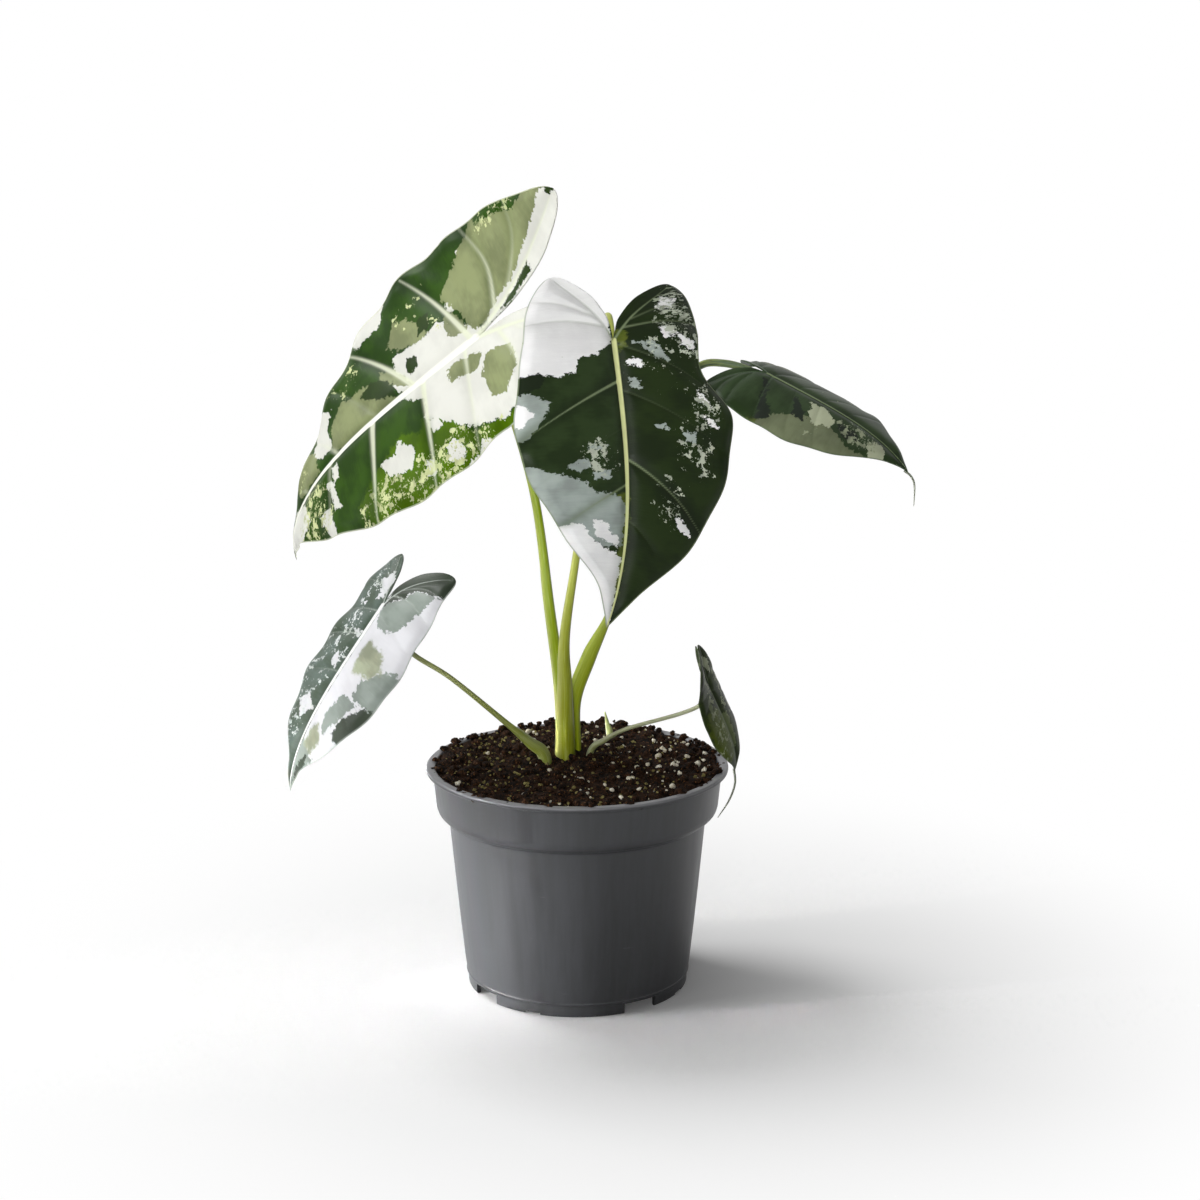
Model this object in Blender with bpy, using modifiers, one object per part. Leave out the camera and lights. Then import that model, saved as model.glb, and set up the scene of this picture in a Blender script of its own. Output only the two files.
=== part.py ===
"""Potted alocasia in a 12 cm nursery pot, modelled in metres, +Z up.

The origin is the middle of the pot's base pad, on the plane the pot stands on.
Shapes are described in millimetres and degrees, and scaled once with MM.
"""
import math

import bmesh
import bpy
import numpy as np
from mathutils import Vector

MM = 0.001
MERGE = 0.00002
TOUCH_GAP = 0.35

# --- Pot -------------------------------------------------------------------
POT_STEPS = 48
POT_HEIGHT = 90.0
RIM_RADIUS = 60.0
LIP_DROP = 1.8
WALL = 1.3
COLLAR_TOP_RADIUS = 57.4
COLLAR_FOOT_RADIUS = 56.0
COLLAR_FOOT_Z = 74.0
STEP_Z = 69.8
STEP_RADIUS = 51.2
BASE_RADIUS = 44.6
RIDGE_Z = 5.4
FOOT_RADIUS = 44.0
FOOT_INNER_RADIUS = 42.2
PLATE_Z = 4.2
PAD_RADIUS = 18.0
PAD_SLOPE = 3.0
NOTCH_COUNT = 4
NOTCH_ANGLE = 19.0
FIRST_NOTCH = -145.5
RELIEF_ANGLE = 9.0
RELIEF_OFFSET = 32.0
RELIEF_HEIGHT = 1.0
DRAIN_COUNT = 8
DRAIN_RADIUS = 3.6
DRAIN_CIRCLE = 30.0

# --- Soil ------------------------------------------------------------------
SOIL_EDGE_Z = 89.0
SOIL_MOUND = 2.8
SOIL_MOUND_CENTRE = (-2.0, 10.0)
SOIL_MOUND_SPREAD = 26.0
SOIL_BACK_RISE = 1.4
SOIL_RISE_START = 5.0
SOIL_RISE_RUN = 45.0
SOIL_RIPPLE = 0.35
SOIL_HEAP = 2.4
SOIL_HEAP_CENTRE = (-51.0, 17.0)
SOIL_HEAP_SPREAD = 8.0
SOIL_TOP_RINGS = 12
SOIL_WALL_GAP = 0.6
SOIL_PAD_INSET = 1.9
POCKET_CLEARANCE = 0.4
POCKET_TOP = 15.0

# --- Leaf blades -----------------------------------------------------------
BLADE_THICKNESS = 0.8
MIDRIB_ROWS = 13
LOBE_ROWS = 7
BLADE_COLUMNS = 4
RIB_STEPS = 60
OUTLINE_SPACING = 1.5
LOBE_MARGIN = 1.15

# One half of an arrow-shaped blade, from the tip round the basal lobe and back
# to the stalk's joint. The first number is a share of the midrib's length, or
# of the lobe's where it is negative. The second is a share of the half's width.
HALF_MARGIN = [
    (1.0, 0.0), (0.87, 0.18), (0.7, 0.56), (0.49, 0.88), (0.28, 1.0),
    (0.1, 0.98), (-0.42, 0.88),
]
LOBE_END = (-1.0, 0.62)
HALF_SINUS = [(-0.78, 0.27), (-0.42, 0.075), (-0.17, 0.022)]

# Each blade leaves its joint along the heading and pitch, and is rolled about
# its midrib. Droop and sweep are how far the tip has turned down and aside.
# Folds are the lifts of a half at its lobe, joint and tip, and cup is its curl
# per millimetre. A half is (width, lobe length, lobe spread, waist at the
# joint, belly), and a belly over 1 moves the widest place back to the joint.
LEAVES = {
    "leaf_back_left": {
        "joint": (-40, 26, 256), "heading": 165, "pitch": -38, "roll": 45,
        "length": 140, "droop": 60, "sweep": 0, "lobe_bend": 10,
        "left_fold": (20, 0, 0), "right_fold": (25, 0, -15), "cup": (-0.25, 0.2),
        "left_half": (51, 50, 1.0, 0.0, 1.0), "right_half": (56, 56, 0.95, 0.0, 1.4),
    },
    "leaf_front": {
        "joint": (14, -14, 260), "heading": -68, "pitch": -70, "roll": 5,
        "length": 110, "droop": 12, "sweep": 25, "lobe_bend": 5,
        "left_fold": (0, 15, 10), "right_fold": (10, 15, 10), "cup": (-0.5, -0.5),
        "left_half": (46, 22, 1.05, 0.25, 1.0), "right_half": (46, 24, 0.85, 0.05, 0.9),
    },
    "leaf_right": {
        "joint": (75, 18, 243), "heading": -30, "pitch": -22, "roll": -8,
        "length": 69, "droop": 35, "sweep": -5, "lobe_bend": 40,
        "left_fold": (-5, -5, -5), "right_fold": (-10, -10, -5), "cup": (-0.9, -0.5),
        "left_half": (33, 23, 1.0, 0.0, 1.0), "right_half": (29, 20, 1.0, 0.0, 0.8),
    },
    "leaf_low_left": {
        "joint": (-74, -25, 160), "heading": -165, "pitch": -55, "roll": 15,
        "length": 84, "droop": 40, "sweep": 10, "lobe_bend": 40,
        "left_fold": (10, 5, 5), "right_fold": (4, -5, 5), "cup": (-0.9, -0.4),
        "left_half": (32, 26, 1.1, 0.0, 1.0), "right_half": (29, 20, 1.0, 0.0, 1.0),
    },
    "leaf_low_right": {
        "joint": (51, -24, 127), "heading": -5, "pitch": -65, "roll": -10,
        "length": 37, "droop": 40, "sweep": -15, "lobe_bend": 20,
        "left_fold": (25, 10, 10), "right_fold": (50, 10, -5), "cup": (-1.9, -1.4),
        "left_half": (17, 15, 1.0, 0.0, 1.0), "right_half": (18, 17, 1.2, 0.0, 1.0),
    },
}
DROOP_POWER = 3

# --- Leaf stalks -----------------------------------------------------------
# A stalk rises from its foot in the soil through a few points to its blade's
# joint. It narrows from the foot to the neck over its sheath, a share of its
# length, and swells where the next leaf's sheath wraps it.
STALK_SIDES = 2
STALK_SPACING = 7.0
STALK_DEPTH = 16.0
STALK_UPRIGHT = 3.0
STALK_SETBACK = 2.5
STALKS = {
    "stalk_back_left": {
        "foot": (-6, 18), "radii": (2.5, 1.6), "sheath": 0.8, "swell": 0.0,
        "through": [
            (-7, 17, 116), (-11, 16, 149), (-17, 24, 193), (-28, 33, 231), (-36, 33, 253),
        ],
    },
    "stalk_front": {
        "foot": (-5, 8), "radii": (4.4, 1.5), "sheath": 0.45, "swell": 0.0,
        "through": [
            (-5, 8, 118), (-5, 8, 140), (0, 8, 175), (6, 8, 222),
            (11, 4, 261), (12, -3, 268), (13, -9, 264),
        ],
    },
    "stalk_right": {
        "foot": (-1, 15), "radii": (2.6, 1.5), "sheath": 0.35, "swell": 1.2,
        "through": [
            (-1, 14, 112), (5, 13, 130), (13, 12, 149), (30, 19, 197),
            (42, 27, 237), (49, 29, 245), (58, 27, 246), (67, 24, 244),
        ],
    },
    "stalk_low_left": {
        "foot": (-13, 0), "radii": (3.2, 1.0), "sheath": 0.45, "swell": 0.0,
        "through": [
            (-19, -2, 99), (-28, -5, 108), (-49, -12, 128), (-64, -15, 139), (-71, -19, 151),
        ],
    },
    "stalk_low_right": {
        "foot": (5, 7), "radii": (1.8, 0.8), "sheath": 0.5, "swell": 0.0,
        "through": [(11, 2, 99), (20, -6, 106), (40, -17, 115), (48, -21, 120)],
    },
}
SWELL_CENTRE = 0.24
SWELL_SPREAD = 0.06
SHOOT_FOOT = (13, 33)
SHOOT_TOP = (11, 33, 102)
SHOOT_DEPTH = 11.0
SHOOT_RADII = (1.5, 0.9, 0.25)

# --- Colours ---------------------------------------------------------------
POT_GREY = (0.125, 0.125, 0.135)
SOIL_BROWN = (0.045, 0.03, 0.02)
STALK_GREEN = (0.3, 0.38, 0.05)
SHOOT_GREEN = (0.5, 0.55, 0.25)
BLADE_GREEN = (0.03, 0.07, 0.03)


# --- Scene helpers ---------------------------------------------------------
def clear_scene():
    for obj in list(bpy.data.objects):
        bpy.data.objects.remove(obj, do_unlink=True)


def new_collection(name):
    collection = bpy.data.collections.new(name)
    bpy.context.scene.collection.children.link(collection)
    return collection


def new_material(name, colour, roughness):
    material = bpy.data.materials.new(name)
    material.use_nodes = True
    shader = material.node_tree.nodes["Principled BSDF"]
    shader.inputs["Base Color"].default_value = (*colour, 1.0)
    shader.inputs["Roughness"].default_value = roughness
    shader.inputs["Metallic"].default_value = 0.0
    return material


def mesh_object(name, mesh, collection, material=None):
    obj = bpy.data.objects.new(name, mesh)
    collection.objects.link(obj)
    if material is not None:
        mesh.materials.append(material)
    return obj


def mesh_from_bmesh(name, bm):
    mesh = bpy.data.meshes.new(name)
    bm.to_mesh(mesh)
    bm.free()
    return mesh


def make_cutter(obj):
    obj.hide_render = True
    obj.display_type = "WIRE"
    return obj


def cut_with(obj, cutter):
    cut = obj.modifiers.new("cut_" + cutter.name, "BOOLEAN")
    cut.operation = "DIFFERENCE"
    cut.solver = "EXACT"
    cut.object = cutter


def smooth(obj, angle=35.0):
    obj.data.shade_smooth()
    obj.data.set_sharp_from_angle(angle=math.radians(angle))


def applied(obj, collection, material):
    """Replace a curve or a modified object by its own evaluated, welded mesh."""
    name = obj.name
    bpy.context.view_layer.update()
    depsgraph = bpy.context.evaluated_depsgraph_get()
    mesh = bpy.data.meshes.new_from_object(obj.evaluated_get(depsgraph))
    matrix = obj.matrix_world.copy()
    bpy.data.objects.remove(obj, do_unlink=True)
    bm = bmesh.new()
    bm.from_mesh(mesh)
    bmesh.ops.remove_doubles(bm, verts=bm.verts, dist=MERGE)
    bm.to_mesh(mesh)
    bm.free()
    mesh.materials.clear()
    solid = mesh_object(name, mesh, collection, material)
    solid.matrix_world = matrix
    return solid


# --- Turned shapes ---------------------------------------------------------
def turned(name, profile, collection, material, steps=POT_STEPS):
    """Turn a closed (radius, z) profile in millimetres about Z."""
    bm = bmesh.new()
    verts = [bm.verts.new((r * MM, 0.0, z * MM)) for r, z in profile]
    for first, second in zip(verts, verts[1:]):
        bm.edges.new((first, second))
    obj = mesh_object(name, mesh_from_bmesh(name, bm), collection, material)
    screw = obj.modifiers.new("turn", "SCREW")
    screw.steps = steps
    screw.render_steps = steps
    screw.use_merge_vertices = True
    screw.merge_threshold = MERGE
    return obj


def body_radius(z):
    """Outer radius of the tapered wall below the collar."""
    share = (z - RIDGE_Z) / (STEP_Z - RIDGE_Z)
    return BASE_RADIUS + (STEP_RADIUS - BASE_RADIUS) * share ** 0.9


def pot_inner_wall():
    """Inner wall from the base plate up to the rim."""
    plate_top = PLATE_Z + WALL
    levels = (plate_top, 12.0, 24.0, 40.0, 56.0, STEP_Z + WALL)
    wall = [(body_radius(max(z, RIDGE_Z)) - WALL, z) for z in levels]
    wall.append((COLLAR_FOOT_RADIUS - WALL, COLLAR_FOOT_Z + 1.0))
    wall.append((COLLAR_TOP_RADIUS - WALL, POT_HEIGHT - 1.0))
    return wall


def pot_profile():
    """Closed outline: inner floor, inner wall, rim, outer wall, underside."""
    plate_top = PLATE_Z + WALL
    inner_floor = [(0.0, WALL), (PAD_RADIUS - 1.5, WALL), (PAD_RADIUS + PAD_SLOPE - 1.5, plate_top)]
    rim = [(COLLAR_TOP_RADIUS - WALL + 0.5, POT_HEIGHT), (RIM_RADIUS - 0.5, POT_HEIGHT)]
    lip = [
        (RIM_RADIUS, POT_HEIGHT - 0.5),
        (RIM_RADIUS - 0.1, POT_HEIGHT - LIP_DROP),
        (COLLAR_TOP_RADIUS + 0.3, POT_HEIGHT - LIP_DROP - 0.3),
        (COLLAR_TOP_RADIUS - 0.1, POT_HEIGHT - LIP_DROP - 1.2),
    ]
    collar = [
        (COLLAR_FOOT_RADIUS, COLLAR_FOOT_Z),
        (COLLAR_FOOT_RADIUS - 0.6, COLLAR_FOOT_Z - 1.8),
        (COLLAR_FOOT_RADIUS - 2.2, STEP_Z + 0.7),
        (STEP_RADIUS + 0.9, STEP_Z),
    ]
    wall = [(body_radius(z), z) for z in (STEP_Z - 1.0, 56.0, 40.0, 24.0, 12.0, RIDGE_Z + 0.6)]
    ridge = [(BASE_RADIUS + 0.35, RIDGE_Z), (FOOT_RADIUS + 0.1, RIDGE_Z - 0.7)]
    foot = [(FOOT_RADIUS, 0.5), (FOOT_RADIUS - 0.4, 0.0), (FOOT_INNER_RADIUS, 0.0)]
    underside = [
        (FOOT_INNER_RADIUS, PLATE_Z),
        (PAD_RADIUS + PAD_SLOPE, PLATE_Z),
        (PAD_RADIUS, 0.0),
        (0.0, 0.0),
    ]
    return inner_floor + pot_inner_wall() + rim + lip + collar + wall + ridge + foot + underside


def box_between(bm, x_range, y_range, z_range, turn):
    """Add a box given by its ranges in millimetres, then turn it about Z."""
    made = bmesh.ops.create_cube(bm, size=1.0)["verts"]
    for vert in made:
        for axis, (low, high) in enumerate((x_range, y_range, z_range)):
            vert.co[axis] = (low + (vert.co[axis] + 0.5) * (high - low)) * MM
    angle = math.radians(turn)
    for vert in made:
        x, y = vert.co.x, vert.co.y
        vert.co.x = x * math.cos(angle) - y * math.sin(angle)
        vert.co.y = x * math.sin(angle) + y * math.cos(angle)


def foot_cutter(cutters):
    """Drain notches in the foot ring, and a shallow relief under each foot."""
    bm = bmesh.new()
    half_notch = FOOT_RADIUS * math.sin(math.radians(NOTCH_ANGLE / 2))
    half_relief = FOOT_RADIUS * math.sin(math.radians(RELIEF_ANGLE / 2))
    ring = (FOOT_INNER_RADIUS - 3.0, FOOT_RADIUS + 3.0)
    for index in range(NOTCH_COUNT):
        angle = FIRST_NOTCH + index * 360.0 / NOTCH_COUNT
        box_between(bm, ring, (-half_notch, half_notch), (-2.0, PLATE_Z - 0.05), angle)
        relief = angle + RELIEF_OFFSET
        box_between(bm, ring, (-half_relief, half_relief), (-2.0, RELIEF_HEIGHT), relief)
    return make_cutter(mesh_object("foot_cutter", mesh_from_bmesh("foot_cutter", bm), cutters))


def drain_cutter(cutters):
    """Round drain holes through the raised ring of the base plate."""
    bm = bmesh.new()
    for index in range(DRAIN_COUNT):
        made = bmesh.ops.create_cone(
            bm, cap_ends=True, segments=16, radius1=DRAIN_RADIUS * MM,
            radius2=DRAIN_RADIUS * MM, depth=6.0 * MM,
        )["verts"]
        angle = math.radians((index + 0.5) * 360.0 / DRAIN_COUNT)
        centre = Vector((math.cos(angle), math.sin(angle), 0.0)) * DRAIN_CIRCLE * MM
        centre.z = (PLATE_Z + WALL / 2) * MM
        bmesh.ops.translate(bm, verts=made, vec=centre)
    return make_cutter(mesh_object("drain_cutter", mesh_from_bmesh("drain_cutter", bm), cutters))


def build_pot(parts, cutters):
    material = new_material("pot_plastic", POT_GREY, 0.45)
    pot = turned("pot", pot_profile(), parts, material)
    cut_with(pot, foot_cutter(cutters))
    cut_with(pot, drain_cutter(cutters))
    smooth(pot)


# --- Soil ------------------------------------------------------------------
def soil_height(x, y):
    """Height of the soil at a point: a mound, a rise to the back and a heap at the rim."""
    mound_x, mound_y = SOIL_MOUND_CENTRE
    away = math.hypot(x - mound_x, y - mound_y) / SOIL_MOUND_SPREAD
    mound = SOIL_MOUND * math.exp(-away * away)
    back = SOIL_BACK_RISE * max(0.0, min(1.0, (y - SOIL_RISE_START) / SOIL_RISE_RUN)) ** 1.2
    ripple = SOIL_RIPPLE * (math.sin(0.31 * x + 1.0) * math.cos(0.27 * y) + math.sin(0.19 * x - 0.23 * y))
    heap_x, heap_y = SOIL_HEAP_CENTRE
    from_heap = math.hypot(x - heap_x, y - heap_y) / SOIL_HEAP_SPREAD
    return SOIL_EDGE_Z + mound + back + ripple + SOIL_HEAP * math.exp(-from_heap * from_heap)


def soil_profile():
    plate_top = PLATE_Z + WALL + TOUCH_GAP
    wall = [(radius - SOIL_WALL_GAP, z) for radius, z in pot_inner_wall()[1:-1]]
    top_radius = COLLAR_TOP_RADIUS - WALL - TOUCH_GAP - 0.3
    rings = [(top_radius * (1.0 - i / SOIL_TOP_RINGS), SOIL_EDGE_Z) for i in range(SOIL_TOP_RINGS + 1)]
    corner_radius = pot_inner_wall()[0][0] - SOIL_WALL_GAP
    under = [(corner_radius, plate_top), (PAD_RADIUS + PAD_SLOPE - SOIL_PAD_INSET, plate_top)]
    under += [(PAD_RADIUS - SOIL_PAD_INSET, WALL + TOUCH_GAP), (0.0, WALL + TOUCH_GAP)]
    return rings[::-1] + wall[::-1] + under


def build_soil(parts, cutters):
    material = new_material("potting_soil", SOIL_BROWN, 0.95)
    soil = applied(turned("soil", soil_profile(), parts, material), parts, material)
    for vert in soil.data.vertices:
        if vert.co.z > (SOIL_EDGE_Z - 0.5) * MM:
            vert.co.z = soil_height(vert.co.x / MM, vert.co.y / MM) * MM
    for name in STALKS:
        cut_with(soil, pocket_cutter(name, stalk_route(name), cutters))
    cut_with(soil, pocket_cutter("new_shoot", shoot_route(), cutters))
    smooth(soil)


# --- Stalks ----------------------------------------------------------------
def smooth_route(points, spacing=STALK_SPACING):
    """Points, about evenly spaced, on a smooth curve through the given ones."""
    knots = np.array(points, dtype=float)
    ends = np.vstack([2 * knots[0] - knots[1], knots, 2 * knots[-1] - knots[-2]])
    samples = []
    for before, start, end, after in zip(ends, ends[1:], ends[2:], ends[3:]):
        count = max(2, round(float(np.linalg.norm((end - start)[:3])) / spacing))
        for step in range(count):
            t = step / count
            samples.append(0.5 * (
                2 * start + (end - before) * t
                + (2 * before - 5 * start + 4 * end - after) * t ** 2
                + (3 * start - before - 3 * end + after) * t ** 3
            ))
    samples.append(knots[-1])
    return samples


def share_along(points):
    """How far along the line each point lies, from 0 to 1."""
    steps = np.linalg.norm(np.diff(points, axis=0), axis=1)
    reached = np.concatenate([[0.0], np.cumsum(steps)])
    return reached / reached[-1]


def stalk_route(name):
    """Points (x, y, z, radius) of a stalk, from its foot to just behind its blade."""
    stalk = STALKS[name]
    leaf = LEAVES[name.replace("stalk", "leaf")]
    normal = blade_axes(leaf["heading"], leaf["pitch"], leaf["roll"])[2]
    x, y = stalk["foot"]
    end = np.array(leaf["joint"]) - STALK_SETBACK * normal
    foot = (x, y, SOIL_EDGE_Z - STALK_DEPTH)
    collar = (x, y, SOIL_EDGE_Z + STALK_UPRIGHT)
    centres = np.array([foot, collar, *stalk["through"], end])
    reach = share_along(centres)
    low, high = stalk["radii"]
    narrowed = np.clip(reach / stalk["sheath"], 0.0, 1.0)
    radii = low + (high - low) * narrowed ** 2 * (3.0 - 2.0 * narrowed)
    radii += stalk["swell"] * np.exp(-((reach - SWELL_CENTRE) / SWELL_SPREAD) ** 2)
    return np.column_stack([centres, radii])


def shoot_route():
    """Points of the new shoot: a straight spike with a blunt foot."""
    x, y = SHOOT_FOOT
    low, half_way, high = SHOOT_RADII
    foot = (x, y, SOIL_EDGE_Z - SHOOT_DEPTH)
    collar = (x, y, SOIL_EDGE_Z + STALK_UPRIGHT)
    middle = (np.array(collar) + np.array(SHOOT_TOP)) / 2
    return [(*foot, low), (*collar, low), (*middle, half_way), (*SHOOT_TOP, high)]


def tube(name, samples, collection, material=None, grow=0.0):
    """A closed tube along (x, y, z, radius) samples given in millimetres."""
    curve = bpy.data.curves.new(name, "CURVE")
    curve.dimensions = "3D"
    curve.bevel_depth = MM
    curve.bevel_resolution = STALK_SIDES
    curve.use_fill_caps = True
    spline = curve.splines.new("POLY")
    spline.points.add(len(samples) - 1)
    for point, (x, y, z, radius) in zip(spline.points, samples):
        point.co = (x * MM, y * MM, z * MM, 1.0)
        point.radius = radius + grow
    obj = bpy.data.objects.new(name, curve)
    collection.objects.link(obj)
    return applied(obj, collection, material)


def pocket_cutter(name, route, cutters):
    """The hole in the soil that a stalk's foot stands in."""
    foot = np.array(smooth_route(route)[0])
    above = [point for point in smooth_route(route) if point[2] < SOIL_EDGE_Z + POCKET_TOP]
    foot[2] -= POCKET_CLEARANCE
    samples = [foot, *above[1:]]
    cutter = tube(name + "_pocket", samples, cutters, grow=POCKET_CLEARANCE)
    return make_cutter(cutter)


def build_stalks(parts):
    for name in STALKS:
        material = new_material(name + "_green", STALK_GREEN, 0.45)
        smooth(tube(name, smooth_route(stalk_route(name)), parts, material), 60.0)
    material = new_material("new_shoot_green", SHOOT_GREEN, 0.45)
    smooth(tube("new_shoot", smooth_route(shoot_route(), 3.0), parts, material), 60.0)


# --- Leaf blades -----------------------------------------------------------
def blade_axes(heading, pitch, roll):
    """Unit vectors along the midrib, out to the right of it, and up from the blade."""
    h, p, r = (math.radians(angle) for angle in (heading, pitch, roll))
    along = np.array([math.cos(p) * math.cos(h), math.cos(p) * math.sin(h), math.sin(p)])
    level = np.array([math.sin(h), -math.cos(h), 0.0])
    above = np.cross(level, along)
    return along, math.cos(r) * level + math.sin(r) * above, math.cos(r) * above - math.sin(r) * level


def rib_path(leaf):
    """Distances, points and directions along the midrib and back into the lobes."""
    along, right, normal = blade_axes(leaf["heading"], leaf["pitch"], leaf["roll"])
    length = leaf["length"]
    lobe = LOBE_MARGIN * max(leaf["left_half"][1], leaf["right_half"][1])
    share = np.linspace(0.0, 1.0, RIB_STEPS)
    droop = np.radians(leaf["droop"] * share ** DROOP_POWER)[:, None]
    sweep = np.radians(leaf["sweep"] * share ** 2)[:, None]
    forward = np.cos(droop) * np.cos(sweep) * along - np.sin(droop) * normal
    forward = forward + np.cos(droop) * np.sin(sweep) * right
    bend = np.radians(leaf["lobe_bend"] * share)[:, None]
    backward = -np.cos(bend) * along - np.sin(bend) * normal
    joint = np.array(leaf["joint"])
    front = joint + walk(forward, length)
    back = joint + walk(backward, lobe)
    distance = np.concatenate([-share[:0:-1] * lobe, share * length])
    points = np.vstack([back[:0:-1], front])
    directions = np.vstack([-backward[:0:-1], forward])
    return distance, points, directions, right


def walk(directions, length):
    """Points reached by following the directions over the length."""
    middle = (directions[1:] + directions[:-1]) / 2 * length / (len(directions) - 1)
    return np.vstack([np.zeros(3), np.cumsum(middle, axis=0)])


def blade_point(leaf, path, along, out, side):
    """Point of the blade at a distance along the midrib and out to one side."""
    distance, points, directions, right = path
    centre, ahead = (
        np.array([np.interp(along, distance, table[:, axis]) for axis in range(3)])
        for table in (points, directions)
    )
    ahead /= np.linalg.norm(ahead)
    across = np.cross(ahead, np.cross(right, ahead))
    across /= np.linalg.norm(across)
    up = np.cross(across, ahead)
    folds = leaf["right_fold"] if side > 0 else leaf["left_fold"]
    stations = (distance[0] / LOBE_MARGIN, 0.0, leaf["length"])
    fold = math.radians(float(np.interp(along, stations, folds)))
    curl = math.radians(leaf["cup"][1 if side > 0 else 0])
    sideways = (math.sin(fold + curl * out) - math.sin(fold)) / curl
    lift = (math.cos(fold) - math.cos(fold + curl * out)) / curl
    return centre + side * sideways * across + lift * up


def half_outline(leaf, side_name):
    """Dense smooth margin and sinus of one half blade, meeting at the lobe's end."""
    width, lobe, spread, waist, belly = leaf[side_name + "_half"]

    def sized(point, widening=1.0):
        along, out = point
        reach = along * lobe if along < 0.0 else leaf["length"] * along ** belly
        return reach, out * width * widening, 0.0

    *front, joint_margin, lobe_margin = HALF_MARGIN
    margin = [sized(point) for point in front]
    margin.append(sized(joint_margin, 1.0 - waist))
    margin.append(sized(lobe_margin, (1.0 + spread) / 2 * (1.0 - waist / 2)))
    end = sized(LOBE_END, spread)
    sinus = [sized(point, spread) for point in HALF_SINUS]
    route = [*margin, end, *sinus, (0.0, 0.0, 0.0)]
    curve = np.array(smooth_route(route, OUTLINE_SPACING))[:, :2]
    lobe_end = int(np.argmin(np.linalg.norm(curve - np.array(end[:2]), axis=1)))
    return curve[:lobe_end + 1], curve[lobe_end:][::-1]


def evenly(curve, count):
    """Points at equal steps of arc length along a dense curve."""
    steps = np.linalg.norm(np.diff(curve, axis=0), axis=1)
    reached = np.concatenate([[0.0], np.cumsum(steps)])
    wanted = np.linspace(0.0, reached[-1], count)
    return np.stack([np.interp(wanted, reached, curve[:, axis]) for axis in range(2)], axis=1)


def blade_rows(leaf, side_name):
    """Inner and outer ends of the rows of one half blade, from tip to lobe."""
    outer, sinus = half_outline(leaf, side_name)
    widest = int(np.argmax(outer[:, 0] < 0.0))
    front_margin = evenly(outer[:widest + 1], MIDRIB_ROWS + 1)
    lobe_margin = evenly(outer[widest:], LOBE_ROWS + 1)
    outer_rows = np.vstack([front_margin, lobe_margin[1:]])
    distances = np.linspace(leaf["length"], 0.0, MIDRIB_ROWS + 1)
    midrib = np.stack([distances, np.zeros(MIDRIB_ROWS + 1)], axis=1)
    inner_rows = np.vstack([midrib, evenly(sinus, LOBE_ROWS + 1)[1:]])
    return inner_rows, outer_rows


def build_blade(name, leaf, parts):
    """Loft both half blades as one open sheet, then give it thickness."""
    path = rib_path(leaf)
    bm = bmesh.new()
    for side, side_name in ((-1, "left"), (1, "right")):
        inner, outer = blade_rows(leaf, side_name)
        rows = []
        for start, end in zip(inner, outer):
            ends_meet = np.linalg.norm(end - start) < 0.01
            shares = [0.0] if ends_meet else [c / BLADE_COLUMNS for c in range(BLADE_COLUMNS + 1)]
            spots = [start + (end - start) * share for share in shares]
            rows.append([bm.verts.new(blade_point(leaf, path, u, v, side) * MM) for u, v in spots])
        for first, second in zip(rows, rows[1:]):
            for column in range(BLADE_COLUMNS):
                corners = [first[min(column, len(first) - 1)], first[min(column + 1, len(first) - 1)]]
                corners += [second[min(column + 1, len(second) - 1)], second[min(column, len(second) - 1)]]
                corners = list(dict.fromkeys(corners))
                bm.faces.new(corners if side > 0 else corners[::-1])
    bmesh.ops.remove_doubles(bm, verts=bm.verts, dist=MERGE)
    material = new_material(name + "_green", BLADE_GREEN, 0.4)
    blade = mesh_object(name, mesh_from_bmesh(name, bm), parts, material)
    shell = blade.modifiers.new("thickness", "SOLIDIFY")
    shell.thickness = BLADE_THICKNESS * MM
    shell.offset = 0.0
    smooth(blade, 50.0)


def main():
    clear_scene()
    parts = new_collection("potted_alocasia")
    cutters = new_collection("cutters")
    build_pot(parts, cutters)
    build_soil(parts, cutters)
    build_stalks(parts)
    for name, leaf in LEAVES.items():
        build_blade(name, leaf, parts)


main()
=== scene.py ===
"""Looks of the potted alocasia: pot, soil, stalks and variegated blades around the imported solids.

Shapes are described in millimetres and degrees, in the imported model's own frame, and scaled once with MM.
"""
import math

import bmesh
import bpy
import numpy as np
from mathutils import Matrix, Vector, noise


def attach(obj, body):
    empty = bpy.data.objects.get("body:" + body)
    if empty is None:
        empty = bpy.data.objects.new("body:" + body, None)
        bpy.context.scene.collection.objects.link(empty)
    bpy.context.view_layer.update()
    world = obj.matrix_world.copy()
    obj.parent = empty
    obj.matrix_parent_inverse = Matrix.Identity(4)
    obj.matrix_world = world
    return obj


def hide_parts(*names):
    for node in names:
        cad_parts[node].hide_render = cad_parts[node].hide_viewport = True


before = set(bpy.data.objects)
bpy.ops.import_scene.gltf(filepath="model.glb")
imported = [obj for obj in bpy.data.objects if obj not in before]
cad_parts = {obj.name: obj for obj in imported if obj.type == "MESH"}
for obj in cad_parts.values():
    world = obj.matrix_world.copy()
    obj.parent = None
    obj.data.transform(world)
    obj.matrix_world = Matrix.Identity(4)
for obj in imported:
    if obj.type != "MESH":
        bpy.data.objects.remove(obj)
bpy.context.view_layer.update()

MM = 0.001
BODY = "root"

# --- Camera ------------------------------------------------------------------
CAMERA_ELEVATION = 12.93
CAMERA_DISTANCE = 1000.0
CAMERA_TARGET = (9.0, 0.0, 156.5)
CAMERA_LENS = 76.6

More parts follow.
